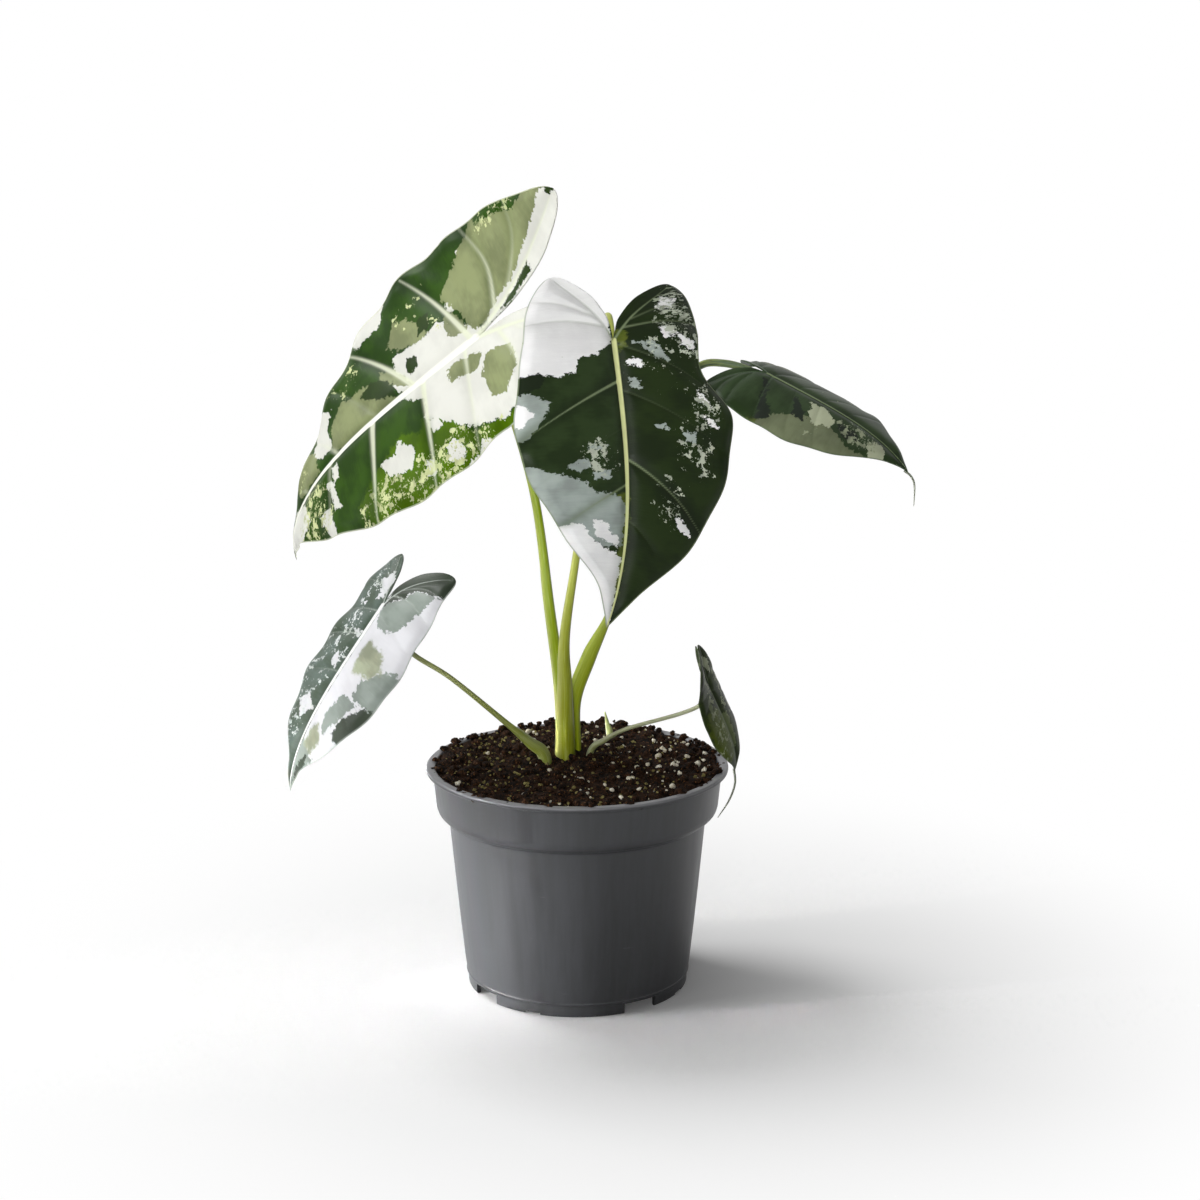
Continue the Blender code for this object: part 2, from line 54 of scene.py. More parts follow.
# --- Sizes of the pot --------------------------------------------------------
POT_STEPS = 160
POT_SHARP_ANGLE = 40.0
CORNER_REACH = 0.55
CORNER_LARGEST = 0.45
CORNER_STEPS = 4
POT_HEIGHT = 90.0
RIM_RADIUS = 60.0
LIP_DROP = 1.8
WALL = 1.3
WALL_BULGE = 0.9
COLLAR_TOP_RADIUS = 57.4
COLLAR_FOOT_RADIUS = 56.0
COLLAR_FOOT_Z = 74.0
STEP_Z = 69.8
STEP_RADIUS = 51.2
BASE_RADIUS = 44.6
RIDGE_Z = 5.4
FOOT_RADIUS = 44.0
FOOT_INNER_RADIUS = 42.2
PLATE_Z = 4.2
PAD_RADIUS = 18.0
PAD_SLOPE = 3.0
NOTCH_COUNT = 4
NOTCH_ANGLE = 19.0
FIRST_NOTCH = -145.5
RELIEF_ANGLE = 9.0
RELIEF_OFFSET = 32.0
RELIEF_HEIGHT = 1.0
DRAIN_COUNT = 8
DRAIN_RADIUS = 3.6
DRAIN_CIRCLE = 30.0
CUTTER_REACH = 3.0
CUTTER_DROP = 2.0

# --- Sizes of the soil -------------------------------------------------------
SOIL_EDGE_Z = 89.0
SOIL_MOUND = 2.8
SOIL_MOUND_CENTRE = (-2.0, 10.0)
SOIL_MOUND_SPREAD = 26.0
SOIL_BACK_RISE = 1.4
SOIL_RIPPLE = 0.35
SOIL_HEAP = 2.4
SOIL_HEAP_CENTRE = (-51.0, 17.0)
SOIL_HEAP_SPREAD = 8.0

# --- Routes of the stalks ----------------------------------------------------
# A stalk rises from its foot in the soil through a few points to its blade's
# joint. It narrows from the foot to the neck over its sheath, a share of its
# length, and swells where the next leaf's sheath wraps it.
STALK_DEPTH = 16.0
STALK_UPRIGHT = 3.0
STALK_SETBACK = 2.5
STALKS = {
    "stalk_back_left": {
        "foot": (-6, 18), "radii": (2.5, 1.6), "sheath": 0.8, "swell": 0.0,
        "through": [
            (-7, 17, 116), (-11, 16, 149), (-17, 24, 193), (-28, 33, 231), (-36, 33, 253),
        ],
    },
    "stalk_front": {
        "foot": (-5, 8), "radii": (4.4, 1.5), "sheath": 0.45, "swell": 0.0,
        "through": [
            (-5, 8, 118), (-5, 8, 140), (0, 8, 175), (6, 8, 222),
            (11, 4, 261), (12, -3, 268), (13, -9, 264),
        ],
    },
    "stalk_right": {
        "foot": (-1, 15), "radii": (2.6, 1.5), "sheath": 0.35, "swell": 1.2,
        "through": [
            (-1, 14, 112), (5, 13, 130), (13, 12, 149), (30, 19, 197),
            (42, 27, 237), (49, 29, 245), (58, 27, 246), (67, 24, 244),
        ],
    },
    "stalk_low_left": {
        "foot": (-13, 0), "radii": (3.2, 1.0), "sheath": 0.45, "swell": 0.0,
        "through": [
            (-19, -2, 99), (-28, -5, 108), (-49, -12, 128), (-64, -15, 139), (-71, -19, 151),
        ],
    },
    "stalk_low_right": {
        "foot": (5, 7), "radii": (1.8, 0.8), "sheath": 0.5, "swell": 0.0,
        "through": [(11, 2, 99), (20, -6, 106), (40, -17, 115), (48, -21, 120)],
    },
}
SWELL_CENTRE = 0.24
SWELL_SPREAD = 0.06
SHOOT_FOOT = (13, 33)
SHOOT_TOP = (11, 33, 102)
SHOOT_DEPTH = 11.0
SHOOT_RADII = (1.5, 0.9, 0.25)

# --- Shapes and markings of the blades ---------------------------------------
LOBE_MARGIN = 1.15
# One half of an arrow-shaped blade, from the tip round the basal lobe and back
# to the stalk's joint. The first number is a share of the midrib's length, or
# of the lobe's where it is negative. The second is a share of the half's width.
HALF_MARGIN = [
    (1.0, 0.0), (0.87, 0.18), (0.7, 0.56), (0.49, 0.88), (0.28, 1.0),
    (0.1, 0.98), (-0.42, 0.88),
]
LOBE_END = (-1.0, 0.62)
HALF_SINUS = [(-0.78, 0.27), (-0.42, 0.075), (-0.17, 0.022)]

# Each blade leaves its joint along the heading and pitch, and is rolled about
# its midrib. Droop and sweep are how far the tip has turned down and aside.
# Folds are the lifts of a half at its lobe, joint and tip, and cup is its curl
# per millimetre. A half is (width, lobe length, lobe spread, waist at the
# joint, belly), and a belly over 1 moves the widest place back to the joint.
LEAVES = {
    "leaf_back_left": {
        "joint": (-40, 26, 256), "heading": 165, "pitch": -38, "roll": 45,
        "length": 140, "droop": 60, "sweep": 0, "lobe_bend": 10,
        "left_fold": (20, 0, 0), "right_fold": (25, 0, -15), "cup": (-0.25, 0.2),
        "left_half": (51, 50, 1.0, 0.0, 1.0), "right_half": (56, 56, 0.95, 0.0, 1.4),
    },
    "leaf_front": {
        "joint": (14, -14, 260), "heading": -68, "pitch": -70, "roll": 5,
        "length": 110, "droop": 12, "sweep": 25, "lobe_bend": 5,
        "left_fold": (0, 15, 10), "right_fold": (10, 15, 10), "cup": (-0.5, -0.5),
        "left_half": (46, 22, 1.05, 0.25, 1.0), "right_half": (46, 24, 0.85, 0.05, 0.9),
    },
    "leaf_right": {
        "joint": (75, 18, 243), "heading": -30, "pitch": -22, "roll": -8,
        "length": 69, "droop": 35, "sweep": -5, "lobe_bend": 40,
        "left_fold": (-5, -5, -5), "right_fold": (-10, -10, -5), "cup": (-0.9, -0.5),
        "left_half": (33, 23, 1.0, 0.0, 1.0), "right_half": (29, 20, 1.0, 0.0, 0.8),
    },
    "leaf_low_left": {
        "joint": (-74, -25, 160), "heading": -165, "pitch": -55, "roll": 15,
        "length": 84, "droop": 40, "sweep": 10, "lobe_bend": 40,
        "left_fold": (10, 5, 5), "right_fold": (4, -5, 5), "cup": (-0.9, -0.4),
        "left_half": (32, 26, 1.1, 0.0, 1.0), "right_half": (29, 20, 1.0, 0.0, 1.0),
    },
    "leaf_low_right": {
        "joint": (51, -24, 127), "heading": -5, "pitch": -65, "roll": -10,
        "length": 37, "droop": 40, "sweep": -15, "lobe_bend": 20,
        "left_fold": (25, 10, 10), "right_fold": (50, 10, -5), "cup": (-1.9, -1.4),
        "left_half": (17, 15, 1.0, 0.0, 1.0), "right_half": (18, 17, 1.2, 0.0, 1.0),
    },
}
DROOP_POWER = 3

# Markings of each blade, as patches with corners (distance along the midrib,
# distance out from it), in millimetres. The second number is positive on the
# right half. A vein is (start as a share of the midrib, forward lean, strength).
# A fleck zone is (distance along, distance out, half sizes, density).
MARKINGS = {
    "leaf_back_left": {
        "right_veins": ((0.01, 0.4, 1.0), (0.23, 0.65, 1.0), (0.38, 0.6, 0.3), (0.55, 0.7, 0.6),
                        (0.72, 0.8, 0.5)),
        "left_veins": ((0.04, 0.2, 0.7), (0.2, 0.2, 1.0), (0.4, 0.32, 1.0), (0.59, 0.4, 0.5),
                       (0.75, 0.5, 0.4)),
        "sage": (
            [(-1, 2), (3, 18), (9, 31), (1, 37), (-9, 42), (-18, 50), (-20, 44), (-38, 37), (-44, 42),
             (-54, 38),
             (-42, 27), (-24, 13)],
            [(2, 8), (4, 18), (9, 24), (12, 15), (9, 8)],
            [(34, 38), (27, 35), (19, 20), (26, 19), (34, 23), (40, 29)],
            [(34, 3), (40, 16), (47, 22), (48, 16), (40, 6)],
            [(40, 0), (46, 8), (54, 20), (70, 24), (78, 18), (79, 4), (70, 0)],
            [(90, 2), (92, 14), (100, 26), (112, 16), (106, 2)],
            [(-4, -12), (-14, -16), (-15, -28), (-6, -36), (1, -32), (2, -20)],
            [(16, -5), (4, -7), (-2, -11), (3, -16), (9, -14), (16, -13)],
        ),
        "cream": (
            [(-6, 2), (6, 14), (14, 21), (22, 20), (38, 22), (42, 12), (40, 2), (20, -2), (0, -2)],
            [(40, 0), (0, 2), (-36, 0), (-36, -20), (-16, -44), (2, -44), (16, -36), (24, -27), (32, -18),
             (30, -10), (38, -4)],
            [(-4, 1), (-12, 8), (-24, 19), (-46, 36), (-60, 36), (-58, 24), (-42, 10), (-26, 3)],
            [(38, 47), (42, 43), (54, 42), (58, 48), (48, 60), (36, 58)],
            [(76, 26), (84, 30), (92, 30), (94, 14), (86, 6), (79, 8), (81, 18)],
            [(-6, 38), (-10, 38), (-11, 42), (-7, 43)],
            [(4, 28), (8, 27), (8, 22), (3, 21)],
            [(58, -23), (50, -25), (46, -20), (41, -29), (44, -37), (52, -34), (56, -31)],
            [(28, -38), (23, -37), (20, -44), (24, -48), (28, -44)],
            [(31, -21), (26, -22), (25, -28), (31, -28)],
            [(39, -37), (35, -38), (35, -45), (39, -44)],
            [(12, -46), (6, -50), (0, -58), (26, -58), (22, -50), (16, -50)],
            [(82, -4), (78, -4), (79, -12), (83, -13)],
            [(87, -8), (83, -9), (82, -26), (86, -24)],
            [(97, -18), (90, -20), (88, -32), (96, -34)],
            [(112, 2), (104, -4), (103, -14), (116, -16), (132, -6), (134, 4)],
        ),
        "lime": (
            [(30, -14), (22, -26), (14, -40), (4, -44), (-10, -44), (-8, -58), (40, -58), (72, -46),
             (74, -32),
             (62, -25), (52, -22), (44, -18), (36, -24)],
        ),
        "deep": (
            [(-12, 3), (-22, 8), (-33, 15), (-34, 10), (-20, 3)],
            [(-52, 38), (-60, 38), (-60, 31), (-54, 32)],
            [(32, 16), (34, 10), (31, 6), (27, 8), (28, 14)],
            [(42, 3), (42, 12), (52, 20), (60, 17), (50, 7)],
            [(18, 22), (24, 22), (22, 30), (16, 30)],
        ),
        "fleck": ((30, -44, 34, 14, 0.98), (62, -40, 20, 14, 1.0), (98, -14, 18, 18, 1.0),
                  (24, 38, 12, 12, 0.6),
                  (66, 32, 16, 12, 0.7), (-30, 44, 18, 7, 0.9), (106, 14, 12, 12, 0.8), (14, 22, 10, 8, 0.7)),
    },
    "leaf_front": {
        "right_veins": ((0.14, 0.56, 1.0), (0.3, 0.7, 0.2), (0.5, 0.75, 0.75), (0.68, 0.9, 0.3)),
        "left_veins": ((0.01, 0.5, 0.45), (0.17, 0.6, 0.35), (0.41, 0.85, 0.9), (0.62, 0.95, 0.3)),
        "sage": (
            # On this blade the first sage patch is partly sage marking and partly a painted grey sheen.
            [(50, 50), (51, 38), (54, 32), (54, 26), (56, 18), (60, 14), (59, 6), (62, 1), (80, 1), (80, 10),
             (77, 20), (75, 32), (66, 44)],
            [(50, 27), (47, 20), (49, 16), (52, 22)],
            [(42, 19), (40, 14), (41, 9), (43, 14)],
            [(52, 16), (50, 8), (53, 8), (54, 15)],
            [(20, 50), (22, 38), (24, 32), (29, 33), (34, 38), (40, 43), (42, 52)],
            [(1, -7), (1, -15), (4, -19), (3, -11)],
            [(3, -11), (5, -18), (9, -21), (7, -15)],
            [(13, -3), (16, -8), (20, -9), (18, -4)],
            [(33, -12), (33, -18), (35, -17)],
            [(36, -23), (36, -29), (40, -28), (39, -24)],
        ),
        "cream": (
            [(-30, 1), (0, 1), (2, 4), (4, 9), (6, 13), (8, 18), (12, 20), (14, 27), (14, 36), (15, 52),
             (-30, 52)],
            [(24, 50), (26, 41), (28, 37), (31, 40), (34, 44), (38, 52)],
            [(71, 15), (71, 10), (75, 7), (75, 3), (79, 4), (78, 10), (77, 15)],
            [(76, 38), (74, 20), (79, 14), (81, 6), (83, 1), (98, 1), (114, -1), (112, 10), (92, 32)],
            [(-12, -19), (-16, -22), (-15, -29), (-12, -26)],
            [(-5, -18), (-5, -23), (-1, -25), (1, -20)],
            [(-1, -26), (2, -32), (6, -31), (3, -26)],
            [(7, -3), (8, -8), (10, -9), (9, -3)],
            [(21, -31), (23, -35), (28, -37), (25, -32)],
            [(30, -31), (31, -36), (34, -38)],
            [(66, -19), (68, -24), (72, -25), (70, -21)],
        ),
        "lime": (
            [(59, 5), (58, 0), (98, 0), (94, 3), (80, 4), (70, 6)],
            [(-4, -1), (-3, -5), (2, -5), (4, -1)],
        ),
        "deep": (
            [(14, 50), (13, 34), (17, 33), (20, 38), (21, 48)],
        ),
        "fleck": ((-8, -26, 16, 12, 1.0), (6, -16, 10, 12, 0.8), (16, -24, 14, 14, 0.5),
                  (28, -34, 14, 8, 0.9),
                  (42, -28, 16, 12, 0.8), (60, -16, 12, 8, 0.9), (46, 13, 10, 12, 0.9),
                   (-2, -30, 14, 10, 1.0)),
    },
    "leaf_right": {
        "right_veins": ((0.03, 0.3, 0.7), (0.2, 0.4, 0.35), (0.36, 0.45, 0.35), (0.52, 0.5, 0.3)),
        "left_veins": ((0.03, 0.4, 0.6), (0.2, 0.45, 0.4), (0.36, 0.5, 0.4), (0.52, 0.6, 0.3)),
        "sage": (
            [(10, 34), (14, 22), (22, 15), (34, 12), (46, 16), (60, 12), (74, 4), (74, 20), (52, 32),
             (28, 38)],
            [(-10, -10), (0, -14), (8, -20), (0, -30), (-16, -26)],
        ),
        "cream": (
            [(23, 5), (30, 4), (36, 8), (36, 13), (30, 15), (26, 12)],
            [(50, 6), (55, 3), (60, 8), (56, 14), (51, 10)],
            [(64, 3), (70, 0), (69, 6)],
        ),
        "lime": (
            [(0, 36), (8, 27), (14, 24), (18, 28), (14, 38)],
            [(22, 38), (26, 28), (46, 24), (60, 16), (64, 20), (48, 34)],
        ),
        "deep": (
            [(1, 5), (4, 6), (15, 24), (11, 27)],
            [(14, 3), (24, 12), (26, 17), (20, 16)],
            [(36, 8), (44, 6), (48, 10), (44, 13)],
        ),
        "fleck": ((46, 7, 14, 9, 1.0), (32, 20, 12, 8, 0.5), (20, -16, 20, 12, 0.4)),
    },
    "leaf_low_left": {
        "right_veins": ((0.03, 0.3, 0.6), (0.16, 0.35, 0.8), (0.36, 0.4, 0.5), (0.55, 0.5, 0.4)),
        "left_veins": ((0.03, 0.2, 0.4), (0.2, 0.3, 0.3), (0.4, 0.4, 0.3)),
        "cream": (
            [(-40, -1), (-40, -46), (84, -46), (84, -1)],
            [(-2, 2), (-10, 4), (-14, 10), (-8, 12), (-1, 6)],
            [(2, 12), (5, 12), (4, 16)],
            [(12, 1), (16, 1), (14, 9)],
            [(27, 3), (31, 3), (29, 10), (25, 8)],
            [(48, 2), (44, 10), (50, 14), (55, 7)],
        ),
        "sage": (
            [(0, -2), (-6, -9), (-13, -15), (-16, -25), (-7, -23), (1, -21), (6, -15), (8, -8), (5, -3)],
            [(27, -17), (20, -24), (16, -34), (32, -36), (34, -24), (33, -18)],
            [(34, -13), (46, -9), (52, -14), (42, -19), (36, -22)],
            [(58, -1), (62, -14), (76, -8), (84, 0)],
        ),
        "lime": (
            [(13, -9), (14, -20), (20, -24), (25, -20), (26, -11), (19, -7)],
            [(50, -8), (54, -14), (61, -12), (60, -5), (54, -5)],
        ),
        "deep": (
            [(0, -2), (-6, -9), (-13, -15), (-15, -22), (-19, -34), (-34, -30), (-32, -2), (-14, -1)],
            [(31, -34), (34, -26), (42, -19), (49, -18), (54, -26), (40, -36)],
            [(62, -10), (70, -5), (78, -2), (74, -10)],
        ),
        "fleck": ((24, 14, 36, 16, 0.78), (-10, 16, 16, 12, 0.8), (56, 10, 16, 10, 0.85)),
    },
    "leaf_low_right": {
        "right_veins": ((0.03, 0.3, 0.6), (0.25, 0.4, 0.4), (0.5, 0.5, 0.4)),
        "left_veins": ((0.03, 0.3, 0.6), (0.25, 0.4, 0.4), (0.5, 0.5, 0.4)),
        "sage": (
            [(2, 8), (6, 9), (9, 12), (3, 11)],
            [(24, 2), (10, 1), (12, -4), (26, -2)],
        ),
        "cream": (
            [(-13, -5), (-9, -3), (-4, -6), (-9, -8)],
        ),
        "lime": (
            [(6, 4), (7, 14), (14, 18), (24, 14), (29, 7), (26, 2), (14, 1)],
        ),
        "deep": (
            [(2, -8), (20, -8), (32, -6), (26, -20), (2, -20)],
            [(-4, 12), (-12, 8), (-12, 14), (-2, 18)],
        ),
        "fleck": ((-8, 6, 9, 8, 1.05), (6, -10, 14, 9, 1.0), (20, 8, 12, 8, 0.95), (6, 8, 10, 7, 0.9)),
    },
}
RIB_STEPS = 90
OUTLINE_SPACING = 1.0
FIELD_LIMIT = 8.0
FLECK_FADE = (0.55, 1.15)
HALF_SEAM = 0.6
WELD_STEPS = 500.0

# Relief of a blade with a midrib of RELIEF_LENGTH. It grows with the square root of
# the length, but for the ruffle of the margin, whose height grows with its cube.
RELIEF_LENGTH = 112.0
VEIN_WIDTH = 0.72
VEIN_NARROWING = 0.55
VEIN_FADING = 0.45
VEIN_GROOVE = 0.22
VEIN_BELOW = 0.3
VEIN_OVERLAP = 3.0
FAINT_VEIN_SETBACK = 4.0
MIDRIB_WIDTH = 1.35
MIDRIB_RISE = 0.3
MIDRIB_GROOVE = 0.35
MIDRIB_GROOVE_WIDTH = 2.6
MIDRIB_BELOW = (1.85, 0.35)
MIDRIB_BELOW_SPREAD = 1.25
QUILT_HEIGHT = 0.95
QUILT_REACH = 3.4
PLAIN_MARGIN_ABOVE = 5.0
PLAIN_MARGIN_BELOW = 3.0
RUFFLE_HEIGHT = 0.95
RUFFLE_LENGTH = 24.0
RUFFLE_REACH = 15.0
RUFFLE_SHIFT = 0.35
RUFFLE_CLEAR = 7.0
BLADE_THICKNESS = 0.55
EDGE_THICKNESS = 0.12
EDGE_REACH = 2.5


# --- Small helpers -----------------------------------------------------------
def mesh_object(name, vertices, faces, material):
    """A smooth piece from points in millimetres, riding on the part's one body."""
    mesh = bpy.data.meshes.new(name)
    mesh.from_pydata((np.asarray(vertices) * MM).tolist(), [], faces)
    mesh.validate()
    mesh.shade_smooth()
    mesh.materials.append(material)
    piece = bpy.data.objects.new(name, mesh)
    bpy.context.scene.collection.objects.link(piece)
    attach(piece, BODY)
    return piece


def number_attribute(piece, name, values):
    layer = piece.data.attributes.new(name, "FLOAT", "POINT")
    layer.data.foreach_set("value", np.asarray(values, dtype=np.float32))


def vector_attribute(piece, name, values):
    layer = piece.data.attributes.new(name, "FLOAT_VECTOR", "POINT")
    layer.data.foreach_set("vector", np.asarray(values, dtype=np.float32).ravel())


def smooth_route(points, spacing):
    """Points, about evenly spaced, on a smooth curve through the given ones."""
    knots = np.array(points, dtype=float)
    ends = np.vstack([2 * knots[0] - knots[1], knots, 2 * knots[-1] - knots[-2]])
    samples = []
    for before, start, end, after in zip(ends, ends[1:], ends[2:], ends[3:]):
        count = max(2, round(float(np.linalg.norm((end - start)[:3])) / spacing))
        for step in range(count):
            t = step / count
            samples.append(0.5 * (
                2 * start + (end - before) * t
                + (2 * before - 5 * start + 4 * end - after) * t ** 2
                + (3 * start - before - 3 * end + after) * t ** 3
            ))
    samples.append(knots[-1])
    return np.array(samples)


def travel(points):
    """Distance from the first point to each, along the line through them."""
    return np.concatenate([[0.0], np.cumsum(np.linalg.norm(np.diff(points, axis=0), axis=1))])


def ring_faces(rings, sides, outward):
    """Quads between rings of points, and fans to the two points that come after them all."""
    index = np.arange(rings * sides).reshape(rings, sides)
    beside = np.roll(index, -1, axis=1)
    quads = np.stack([index[:-1], beside[:-1], beside[1:], index[1:]], -1).reshape(-1, 4)
    start, end = rings * sides, rings * sides + 1
    faces = quads.tolist()
    faces += [[start, b, a] for a, b in zip(index[0].tolist(), beside[0].tolist())]
    faces += [[end, a, b] for a, b in zip(index[-1].tolist(), beside[-1].tolist())]
    return faces if outward else [[face[0], *face[:0:-1]] for face in faces]


def smooth_step(low, high, value):
    share = np.clip((value - low) / (high - low), 0.0, 1.0)
    return share * share * (3.0 - 2.0 * share)


def bell(distance, width):
    """One at no distance, falling smoothly to nothing over about twice the width."""
    return np.exp(-(distance / width) ** 2)


# --- Material nodes ----------------------------------------------------------
# A pattern is noise with (steps per unit along each axis, detail, roughness). On leaves
# and stalks the unit is a millimetre of grain, and on the pot and soil it is a metre.
PATTERNS = {
    "leaf_streaks": ((1.1, 0.12, 1.0), 4.0, 0.6),
    "leaf_cloud": ((0.07, 0.05, 1.0), 3.0, 0.55),
    "leaf_pores": ((2.6, 2.0, 1.0), 2.0, 0.55),
    "border_bays": ((0.16, 0.1, 1.0), 2.0, 0.55),
    "border_teeth": ((0.62, 0.36, 1.0), 5.0, 0.68),
    "fleck_clumps": ((0.14, 0.11, 1.0), 2.0, 0.55),
    "large_flecks": ((0.34, 0.24, 1.0), 4.0, 0.62),
    "middle_flecks": ((0.95, 0.6, 1.0), 4.0, 0.62),
    "small_flecks": ((1.9, 1.3, 1.0), 4.0, 0.62),
    "stalk_streaks": ((0.9, 0.04, 0.9), 3.0, 0.5),
    "stalk_cloud": ((0.12, 0.04, 0.12), 2.0, 0.55),
    "stalk_specks": ((1.6, 0.7, 1.0), 2.0, 0.55),
    "pot_flow": ((420.0, 420.0, 9.0), 3.0, 0.6),
    "pot_bands": ((90.0, 90.0, 3.0), 2.0, 0.55),
    "pot_scuffs": ((60.0, 60.0, 400.0), 4.0, 0.7),
    "pot_pebbling": ((2600.0, 2600.0, 2600.0), 2.0, 0.55),
    "soil_clods": ((260.0, 260.0, 260.0), 4.0, 0.65),
    "soil_fibres": ((1300.0, 1300.0, 1300.0), 3.0, 0.6),
    "grain_pits": ((1500.0, 1500.0, 1500.0), 3.0, 0.6),
    "grain_patches": ((180.0, 180.0, 180.0), 1.0, 0.55),
}


class Nodes:
    """Builds the node tree of a new material or world from short calls."""

    def __init__(self, name, of_world=False):
        self.owner = (bpy.data.worlds if of_world else bpy.data.materials).new(name)
        self.owner.use_nodes = True
        self.tree = self.owner.node_tree
        self.tree.nodes.clear()
        self.output = self.node("ShaderNodeOutputWorld" if of_world else "ShaderNodeOutputMaterial")

    def put(self, socket, value):
        """Link a socket to another node's output, or set it to a plain value."""
        if isinstance(value, bpy.types.NodeSocket):
            self.tree.links.new(value, socket)
        elif isinstance(value, tuple) and socket.type == "RGBA":
            socket.default_value = (*value, 1.0)
        else:
            socket.default_value = value

    def node(self, kind, *values, **settings):
        """A new node with its settings, and with values for its first sockets."""
        made = self.tree.nodes.new(kind)
        for key, value in settings.items():
            setattr(made, key, value)
        for socket, value in zip(made.inputs, values):
            self.put(socket, value)
        return made

    def attribute(self, name, kind="Fac"):
        return self.node("ShaderNodeAttribute", attribute_name=name).outputs[kind]

    def place(self, kind="Object"):
        return self.node("ShaderNodeTexCoord").outputs[kind]

    def axis(self, vector, index):
        return self.node("ShaderNodeSeparateXYZ", vector).outputs[index]

    def math(self, operation, *values):
        return self.node("ShaderNodeMath", *values, operation=operation).outputs[0]

    def weighted(self, first, first_weight, second, second_weight):
        """The sum of two values times their weights."""
        parts = (self.math("MULTIPLY", first, first_weight), self.math("MULTIPLY", second, second_weight))
        return self.math("ADD", *parts)

    def centred(self, value, height):
        """A value from 0 to 1, spread to the height and moved to lie about zero."""
        return self.math("MULTIPLY_ADD", value, height, -height / 2)

    def vector(self, operation, first, second):
        return self.node("ShaderNodeVectorMath", first, second, operation=operation).outputs[0]

    def pattern(self, place, name):
        """Noise from about 0 to 1 in the named pattern."""
        steps, detail, roughness = PATTERNS[name]
        made = self.node("ShaderNodeTexNoise", self.vector("MULTIPLY", place, steps))
        for socket, value in (("Scale", 1.0), ("Detail", detail), ("Roughness", roughness)):
            made.inputs[socket].default_value = value
        return made.outputs["Fac"]

    def ranged(self, value, low, high, new_low=0.0, new_high=1.0):
        """A smooth step from one new value to the other as the value goes from low to high."""
        limits = (value, low, high, new_low, new_high)
        return self.node("ShaderNodeMapRange", *limits, interpolation_type="SMOOTHSTEP").outputs[0]

    def mix(self, share, first, second, blend="MIX"):
        made = self.node("ShaderNodeMix", data_type="RGBA", blend_type=blend)
        for index, value in ((0, share), (6, first), (7, second)):
            self.put(made.inputs[index], value)
        return made.outputs[2]

    def bump(self, height, strength, distance):
        made = self.node("ShaderNodeBump", strength, distance)
        self.put(made.inputs["Height"], height)
        return made.outputs[0]

    def principled(self, **inputs):
        shader = self.node("ShaderNodeBsdfPrincipled")
        for name, value in inputs.items():
            self.put(shader.inputs[name.replace("_", " ")], value)
        return shader.outputs[0]

    def shader(self, kind, *values):
        return self.node(kind, *values).outputs[0]

    def finish(self, surface):
        self.put(self.output.inputs["Surface"], surface)
        return self.owner


# --- Colours -----------------------------------------------------------------
def colour(red, green, blue):
    """Linear colour of an 8-bit display colour."""
    shares = (channel / 255.0 for channel in (red, green, blue))
    return tuple(c / 12.92 if c <= 0.04045 else ((c + 0.055) / 1.055) ** 2.4 for c in shares)


def shaded(tone, share):
    return tuple(channel * share for channel in tone)


# Colours of each blade: its two halves, its four kinds of marking, veins, midrib and flecks.
LEAF_TINTS = {
    "leaf_back_left": {
        "green": (44, 74, 6), "green_right": (42, 72, 8), "lime": (74, 106, 0), "sage": (132, 140, 98),
        "cream": (208, 208, 201), "deep": (34, 54, 6), "vein": (208, 212, 188), "midrib": (226, 226, 216),
        "fleck": (196, 202, 150),
    },
    "leaf_front": {
        # The front blade's pale grey-blue sage tint is partly sage marking and partly a painted sheen.
        "green": (28, 42, 10), "green_right": (40, 56, 26), "lime": (104, 116, 40), "sage": (172, 182, 176),
        "cream": (246, 245, 246), "deep": (22, 34, 14), "vein": (126, 140, 104), "midrib": (212, 216, 156),
        "fleck": (190, 196, 178),
    },
    "leaf_right": {
        "green": (48, 66, 34), "green_right": (48, 66, 36), "lime": (98, 108, 50), "sage": (118, 126, 96),
        "cream": (184, 190, 160), "deep": (22, 32, 20), "vein": (84, 104, 76), "midrib": (126, 142, 100),
        "fleck": (156, 164, 134),
    },
    "leaf_low_left": {
        "green": (78, 92, 84), "green_right": (84, 98, 90), "lime": (160, 166, 140), "sage": (138, 148, 140),
        "cream": (212, 212, 216), "deep": (54, 64, 50), "vein": (186, 194, 186), "midrib": (228, 230, 228),
        "fleck": (206, 210, 210),
    },
    "leaf_low_right": {
        "green": (44, 56, 16), "green_right": (42, 54, 16), "lime": (84, 98, 12), "sage": (112, 122, 84),
        "cream": (186, 192, 164), "deep": (26, 34, 14), "vein": (86, 100, 70), "midrib": (112, 124, 86),
        "fleck": (160, 168, 132),
    },
}
# Order of painting the markings, widths of the midrib and veins as shares of the plain
# ones, how much the veins show on cream, shine, and the sheet's rows and columns.
PAINT_ORDER = ("lime", "sage", "cream", "deep")
LEAF_LOOKS = {
    "leaf_back_left": {
        "order": ("lime", "cream", "sage", "deep"),
        "midrib": 1.5, "veins": 2.1, "pale_veins": 0.8, "shine": 0.06, "grid": (210, 64),
    },
    "leaf_front": {
        "order": PAINT_ORDER,
        "midrib": 1.0, "veins": 0.85, "pale_veins": 0.06, "shine": 0.14, "grid": (190, 60),
    },
    "leaf_right": {
        "order": PAINT_ORDER,
        "midrib": 0.6, "veins": 0.8, "pale_veins": 0.8, "shine": 0.12, "grid": (130, 46),
    },
    "leaf_low_left": {
        "order": ("cream", "sage", "lime", "deep"),
        "midrib": 1.1, "veins": 0.8, "pale_veins": 0.8, "shine": 0.14, "grid": (150, 46),
    },
    "leaf_low_right": {
        "order": PAINT_ORDER,
        "midrib": 0.7, "veins": 0.8, "pale_veins": 0.8, "shine": 0.07, "grid": (90, 34),
    },
}
